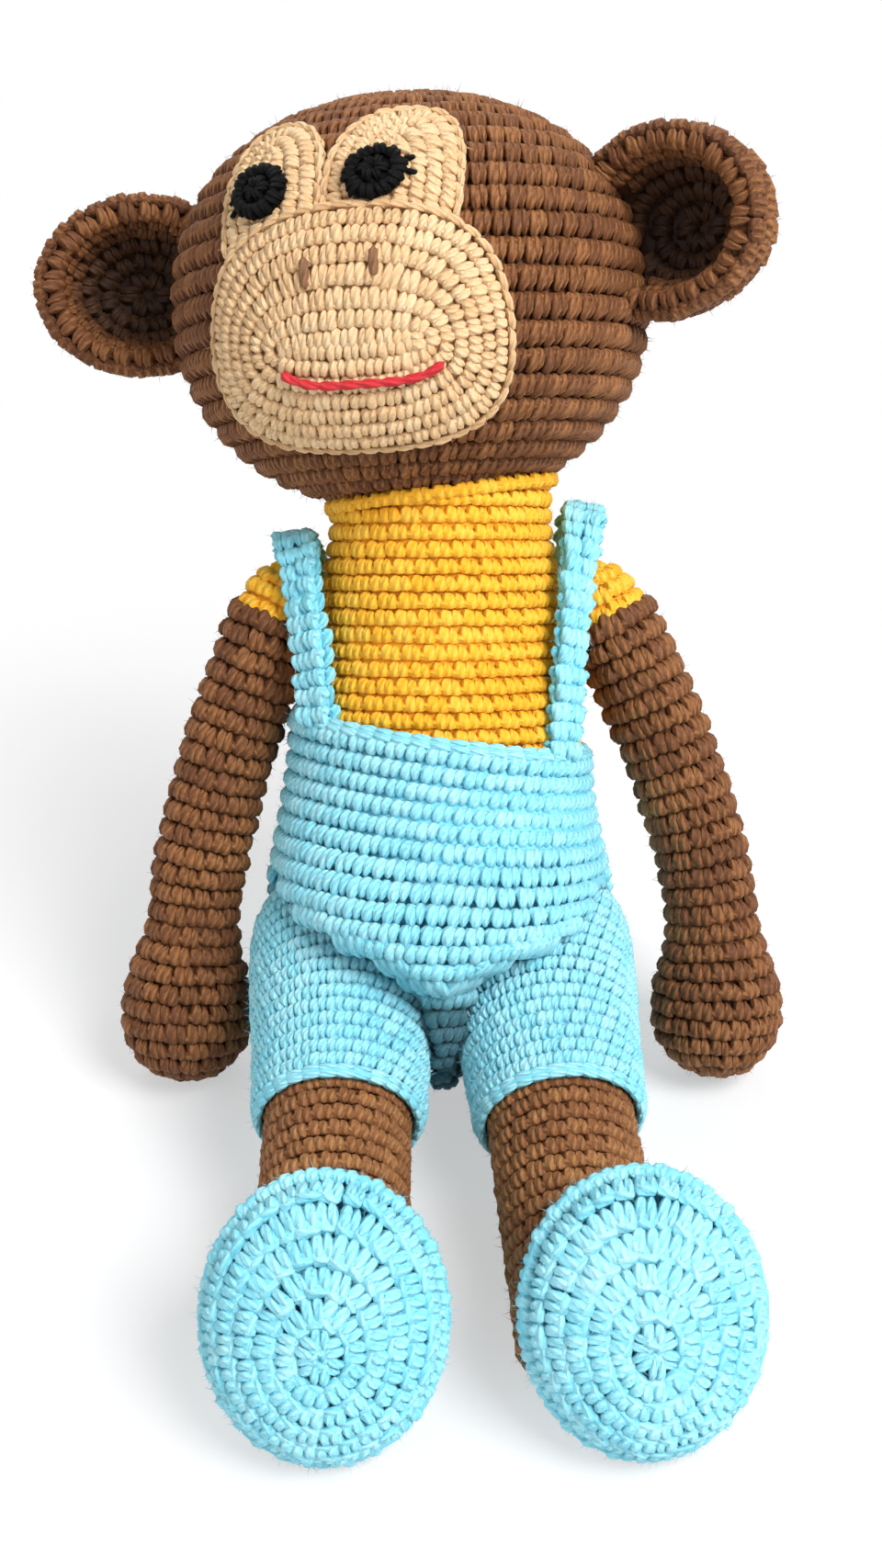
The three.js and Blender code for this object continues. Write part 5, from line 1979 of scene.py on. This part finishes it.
@dataclass
class Torso(Part):
    """The yellow top, and the dungarees with their waist edge and straps, in millimetres and degrees."""

    TOP_ROWS = Gauge(pitch=3.9, width=5.2, depth=1.15, overlap=1.06, shingle=4, drift=0.12)
    TRUNK_ROWS = Gauge(
        pitch=4.2, width=4.8, depth=1.4, overlap=1.06, shape=Shape.TOOTH, shingle=9, drift=0.25)
    STRAP_ROWS = Gauge(pitch=4.3, width=4.9, depth=1.3, uneven=0.2)
    CHAIN = Gauge(pitch=4.4, width=3.2, depth=1.0, uneven=0.07, shape=Shape.CHAIN)

    sizes: TorsoSizes = TorsoSizes()
    head: HeadSizes = HeadSizes()
    # How far the top reaches into the dungarees, where its painted shade in there darkens it, and how dark
    # it gets
    top_start: float = 14.0
    top_hidden: float = 7.0
    top_shade: float = 0.95
    top_shades: Pair = (8.0, 14.0)
    head_room: float = 0.6
    sleeve_room: float = 2.4
    # Share of the torso's length from which the neck's round is looked for
    neck_from: float = 0.7
    trunk_hole: float = 2.0
    trunk_over: float = 1.5
    # Stitches lower than the first height are left out, and the others lie over the second
    trunk_lowest: float = -4.0
    trunk_floor: float = 1.6
    tilt_from: float = -10.0
    leg_room: float = 3.3
    crotch_room: float = 1.7
    sag: float = 6.0
    fold_at: float = -3.0
    fold_rise: float = 0.42
    fold_under: float = 7.5
    fold_over: float = 24.0
    # Half the width of the strip between the legs, how dark its painted shade is, and the depths where it
    # darkens
    crotch_width: float = 16.0
    crotch_shade: float = 0.9
    crotch_shades: Pair = (7.0, 12.0)
    edge_flare: float = 0.8
    strap_width: float = 9.0
    strap_thickness: float = 3.4
    strap_angle: float = 53.0
    strap_off: float = 8.5
    strap_overs: Pair = (12.5, 6.0)
    # How the strap's angle, radius and height change along it, as exponents
    strap_round: float = 0.65
    strap_widening: float = 1.5
    strap_arch: float = 0.8
    strap_evenings: int = 12
    # How far a strap's face turns up over the shoulder, and how its face turns aside elsewhere
    strap_up: float = 0.9
    strap_up_sharp: int = 4
    strap_aside: float = 0.6
    strap_columns: Pair = (-0.25, 0.25)
    strap_sunk: float = 0.9
    strap_overlap: float = 1.2

    def build(self) -> None:
        """Makes the top, the trunk, the edges and the straps."""
        self.top()
        self.neck()
        self.trunk()
        self.waist()
        for side in Side:
            self.strap(side)

    def top(self) -> None:
        """The yellow top, from inside the dungarees up to the head."""
        sizes = self.sizes
        form = Lathed(sizes.profile(0.0, sizes.length + self.head.height / 4), sizes.matrix)
        start = form.run_at(sizes.edge - self.top_start)
        worked = form.worked(self.TOP_ROWS, start, form.length, Tip.START)
        keep = sizes.over_edge(worked.place) > -self.top_hidden
        for arm in map(ArmSizes, Side):
            keep &= self.head.depth(worked.place, arm.swing_gap + self.head_room) > 1
            away = np.linalg.norm(worked.place - arm.matrix[:3, 3], axis=1)
            keep &= away > arm.ball + self.sleeve_room
        nodes = ("torso_skin", "torso_stuffing")
        # The top gets painted shade where it lies inside the dungarees
        self.fabric("yellow_top", worked.where(keep), self.TOP_ROWS, YELLOW,
                    Seat("torso", nodes, fill=0.8, inset=1.1, sunk=0.8, shade=self.inside_trunk))

    def inside_trunk(self, places: Array) -> Array:
        """Painted shade on the top, by how deep places lie in the dungarees."""
        return self.top_shade * smooth(-self.sizes.over_edge(places), *self.top_shades)

    def neck(self) -> None:
        """The round of stitches where the top meets the head."""
        sizes = self.sizes
        away = sizes.neck_yarn + sizes.seam_gap
        clear = away + ArmSizes.swing_gap
        angle = circle(72)
        low = np.full(angle.shape, sizes.length * self.neck_from)
        high = np.full(angle.shape, sizes.length + self.head.height / 2)
        for _ in range(30):
            height = (low + high) / 2
            inside = self.head.depth(self.around(angle, height, away), clear) < 1
            high = np.where(inside, height, high)
            low = np.where(inside, low, height)
        ring = self.around(angle, low, away)
        facing = unit(ring - self.around(angle, low, 0.0))
        worked = ringed(ring, facing, width=self.TOP_ROWS.pitch, pitch=self.TOP_ROWS.width, upright=True)
        self.fabric("neck_round", worked, self.TOP_ROWS, YELLOW,
                    Seat("torso", ("neck_seam",), inset=0.4, sunk=0.9))

    def around(self, angle: Array, height: Array, out: float) -> Array:
        """Points round the torso, at angles from the front and a distance out."""
        return moved(self.sizes.matrix, polar(self.sizes.radius(height, out), angle, height))

    def slanted(self, local: Array) -> Array:
        """Gives the trunk its seat and its sagging belly, and lets its upper rows follow the waist edge.

        Args:
            local: points of the round form.

        Returns:
            The points of the trunk.
        """
        tilt = math.tan(math.radians(self.sizes.edge_tilt))
        drop = local[:, 0] * tilt * smooth(local[:, 2], self.tilt_from, self.sizes.edge)
        fold = local[:, 2] - self.fold_at - self.fold_rise * np.abs(local[:, 0])
        away = np.minimum(np.abs(fold) / np.where(fold < 0, self.fold_under, self.fold_over), 1)
        front = np.maximum(-local[:, 1], 0) / self.sizes.hips
        sag = self.sag * np.cos(away * math.pi / 2) ** 2 * front
        return self.sizes.seated(local) - columns(0, sag, drop)

    def trunk(self) -> None:
        """The trunk and seat of the dungarees."""
        sizes = self.sizes
        profile = sizes.profile(sizes.seam_gap + sizes.garment, sizes.edge)
        form = Lathed(profile, sizes.matrix, warp=self.slanted)
        worked = form.worked(self.TRUNK_ROWS, self.trunk_hole, form.length + self.trunk_over, Tip.END)
        keep = worked.place[:, 2] > self.trunk_lowest
        room = mix(self.leg_room, self.crotch_room, self.between_legs(worked.place))
        for side in Side:
            keep &= ~LegSizes(side).swept(worked.place, room)
        worked = worked.where(keep)
        worked.place[:, 2] = np.maximum(worked.place[:, 2], self.trunk_floor)
        # Painted shade darkens the strip of the trunk between the legs
        seat = Seat("torso", ("dungarees_trunk",), fill=0.7, inset=0.9, sunk=0.7, shade=self.between_legs)
        self.fabric("dungarees", worked, self.TRUNK_ROWS, BLUE, seat)

    def between_legs(self, places: Array) -> Array:
        """Painted shade on the front of the trunk between the legs, by how deep places lie there; it also
        blends the room left round the legs.
        """
        local = within(self.sizes.matrix, places)
        front = (np.abs(local[:, 0]) < self.crotch_width) & (local[:, 1] < 0)
        return self.crotch_shade * front * smooth(-local[:, 2], *self.crotch_shades)

    def waist(self) -> None:
        """The chain along the top of the dungarees."""
        sizes = self.sizes
        angle = circle(72)
        radius = float(sizes.radius(sizes.edge, sizes.seam_gap)) + sizes.edge_yarn
        lift = (sizes.edge_yarn + sizes.seam_gap) / math.cos(math.radians(sizes.edge_tilt))
        height = sizes.edge_height(radius * np.sin(angle)) + lift
        ring = moved(sizes.matrix, polar(radius, angle, height))
        facing = unit(polar(1.0, angle, self.edge_flare) @ sizes.matrix[:3, :3].T)
        worked = ringed(ring, facing, self.CHAIN.width, self.CHAIN.pitch)
        self.fabric("waist_chain", worked, self.CHAIN, BLUE, Seat("torso", ("waist_edge",), inset=0.5))

    def strap_line(self, side: Side) -> Array:
        """Middle line of a strap: up the front, over the shoulder and down the back.

        Args:
            side: left or right.

        Returns:
            Points of the line, as the torso sees them.
        """
        sizes = self.sizes
        foot = float(sizes.radius(sizes.edge, sizes.seam_gap)) + self.strap_thickness / 2 + sizes.seam_gap
        top_height = sizes.length * sizes.shoulder_at + ArmSizes.ball + side.of(self.strap_overs)
        top = float(sizes.radius(top_height, self.strap_off))
        share = np.linspace(-1, 1, 161)
        angle = math.pi / 2 + power(share, self.strap_round) * math.radians(90 - self.strap_angle)
        angle = side.value * angle
        radius = mix(top, foot, np.abs(share) ** self.strap_widening)
        foothold = sizes.edge_height(radius * np.sin(angle))
        height = mix(foothold, top_height, np.cos(share * math.pi / 2) ** self.strap_arch)
        line = polar(radius, angle, height)
        for _ in range(self.strap_evenings):
            line[1:-1] = (line[:-2] + 2 * line[1:-1] + line[2:]) / 4
        return line

    def strap(self, side: Side) -> None:
        """A crocheted band, two stitches wide, worked alike on both faces.

        Args:
            side: left or right.
        """
        rows = self.STRAP_ROWS
        line = self.strap_line(side)
        lengths = spans(line)
        start = 2 * self.sizes.edge_yarn
        spots = np.arange(start, lengths[-1] - start, rows.pitch)
        middle = read_along(spots, lengths, line)
        forward = unit(np.gradient(middle, axis=0))
        arch = (self.strap_up * np.sin(spots / lengths[-1] * math.pi) ** self.strap_up_sharp)[:, None]
        out = unit(middle * np.array([self.strap_aside, 1, 0]))
        out = unit(mix(out, np.array([0.0, 0.0, 1.0]), arch))
        across = unit(np.cross(out, forward))
        facing = np.cross(forward, across)
        place, face, lay = [], [], []
        for sign in (1, -1):
            for column in self.strap_columns:
                place.append(middle + across * column * self.strap_width
                             + facing * sign * (self.strap_thickness / 2 - self.strap_sunk))
                face.append(facing * sign)
                lay.append(across * sign)
        turn = self.sizes.matrix[:3, :3].T
        count = len(place) * len(spots)
        worked = Stitches(
            moved(self.sizes.matrix, np.concatenate(place)), np.concatenate(face) @ turn,
            np.concatenate(lay) @ turn, np.full(count, rows.width),
            np.full(count, rows.pitch * self.strap_overlap))
        self.fabric(f"shoulder_strap_{side.tag}", worked, rows, BLUE,
                    Seat("torso", (f"strap_{side.tag}",), inset=0.8))


@dataclass(frozen=True)
class Lamp:
    """A soft square lamp that points at the toy, in metres and watts."""

    name: str
    place: Spot
    size: float
    watts: float
    aim: Spot = (0.0, -0.03, 0.1)

    def build(self) -> None:
        """Sets the lamp up."""
        light = bpy.data.lights.new(self.name, "AREA")
        light.size = self.size
        light.energy = self.watts
        made = placed(self.name, light)
        made.location = self.place
        way = Vector(self.aim) - Vector(self.place)
        made.rotation_euler = way.to_track_quat("-Z", "Y").to_euler()


@dataclass(frozen=True)
class Studio:
    """A pale floor, soft light and the camera, in metres and degrees."""

    elevation: float = 33.0
    camera_place: Spot = (0.0, -0.4249, 0.3458)
    camera_near: float = 0.01
    focal_pixels: float = 2300.0
    tall_pixels: float = 1707.0
    sensor: float = 36.0
    world: float = 0.27
    white: Colour = (1.0, 1.0, 1.0, 1.0)
    floor_paint: Colour = (0.86, 0.86, 0.87, 1.0)
    floor_size: float = 6.0
    floor_glow: float = 0.5
    shadow_reach: float = 0.27
    lamps: tuple[Lamp, ...] = (
        Lamp("key", (0.75, -0.65, 1.25), 0.8, 29.0),
        Lamp("fill", (-0.95, -0.75, 0.8), 1.1, 4.0),
        Lamp("rim", (-0.2, 0.95, 1.0), 0.9, 6.0))

    def build(self) -> None:
        """Sets up the floor, the light and the camera."""
        self.floor()
        self.sky()
        for lamp in self.lamps:
            lamp.build()
        self.camera()

    def camera(self) -> None:
        """The camera that took the photo, as it was fitted."""
        camera = bpy.data.cameras.new("camera")
        camera.sensor_width = self.sensor
        camera.lens = self.focal_pixels / self.tall_pixels * self.sensor
        camera.clip_start = self.camera_near
        made = placed("camera", camera)
        made.location = self.camera_place
        made.rotation_euler = (math.radians(90 - self.elevation), 0, 0)
        bpy.context.scene.camera = made
        bpy.context.scene.view_settings.view_transform = "Standard"

    def floor(self) -> None:
        """A wide pale floor that keeps the toy's shadow."""
        net = bmesh.new()
        bmesh.ops.create_grid(net, x_segments=1, y_segments=1, size=self.floor_size)
        made = placed("floor", plain_mesh(net, "floor"))
        made.data.materials.append(painted("pale_floor", self._floor_shader))

    def _floor_shader(self, graph: Graph) -> Wire:
        """White for the camera away from the toy, and pale paint near it.

        Args:
            graph: the material's nodes.

        Returns:
            The shader.
        """
        paint = graph.node("ShaderNodeBsdfDiffuse", inputs={"Color": self.floor_paint})
        glow = graph.node("ShaderNodeEmission", inputs={"Color": self.white, "Strength": 1.0})
        place = graph.node("ShaderNodeTexCoord", output="Object")
        away = graph.node("ShaderNodeVectorMath", {"operation": "LENGTH"}, {0: place}, "Value")
        share = graph.node("ShaderNodeMapRange", {"interpolation_type": "SMOOTHSTEP"}, {
            "Value": away, "From Min": self.shadow_reach / 3, "From Max": self.shadow_reach,
            "To Min": self.floor_glow, "To Max": 1.0})
        return graph.node("ShaderNodeMixShader", inputs={0: self.seen(graph) * share, 1: paint, 2: glow})

    def sky(self) -> None:
        """Even light from all round, and a white background."""
        world = bpy.data.worlds.new("studio")
        world.use_nodes = True
        graph = Graph(world.node_tree)
        light, plain = (
            graph.node("ShaderNodeBackground", inputs={"Color": self.white, "Strength": strength})
            for strength in (self.world, 1.0))
        both = graph.node("ShaderNodeMixShader", inputs={0: self.seen(graph), 1: light, 2: plain})
        graph.node("ShaderNodeOutputWorld", inputs={"Surface": both})
        bpy.context.scene.world = world

    @staticmethod
    def seen(graph: Graph) -> Wire:
        """1 for what the camera sees, straight or in a reflection, and 0 for light."""
        camera = graph.node("ShaderNodeLightPath", output="Is Camera Ray")
        return camera + camera.also("Is Glossy Ray") + camera.also("Is Transmission Ray")


def main() -> None:
    """Makes the studio and every sub-assembly in turn."""
    logging.basicConfig(level=logging.INFO, format="%(name)s: %(message)s")
    Studio().build()
    box = Workbox()
    Head(box).build()
    Torso(box).build()
    for side in Side:
        Arm(box, ArmSizes(side)).build()
        Leg(box, LegSizes(side)).build()
    box.put_away()


if __name__ == "__main__":
    main()
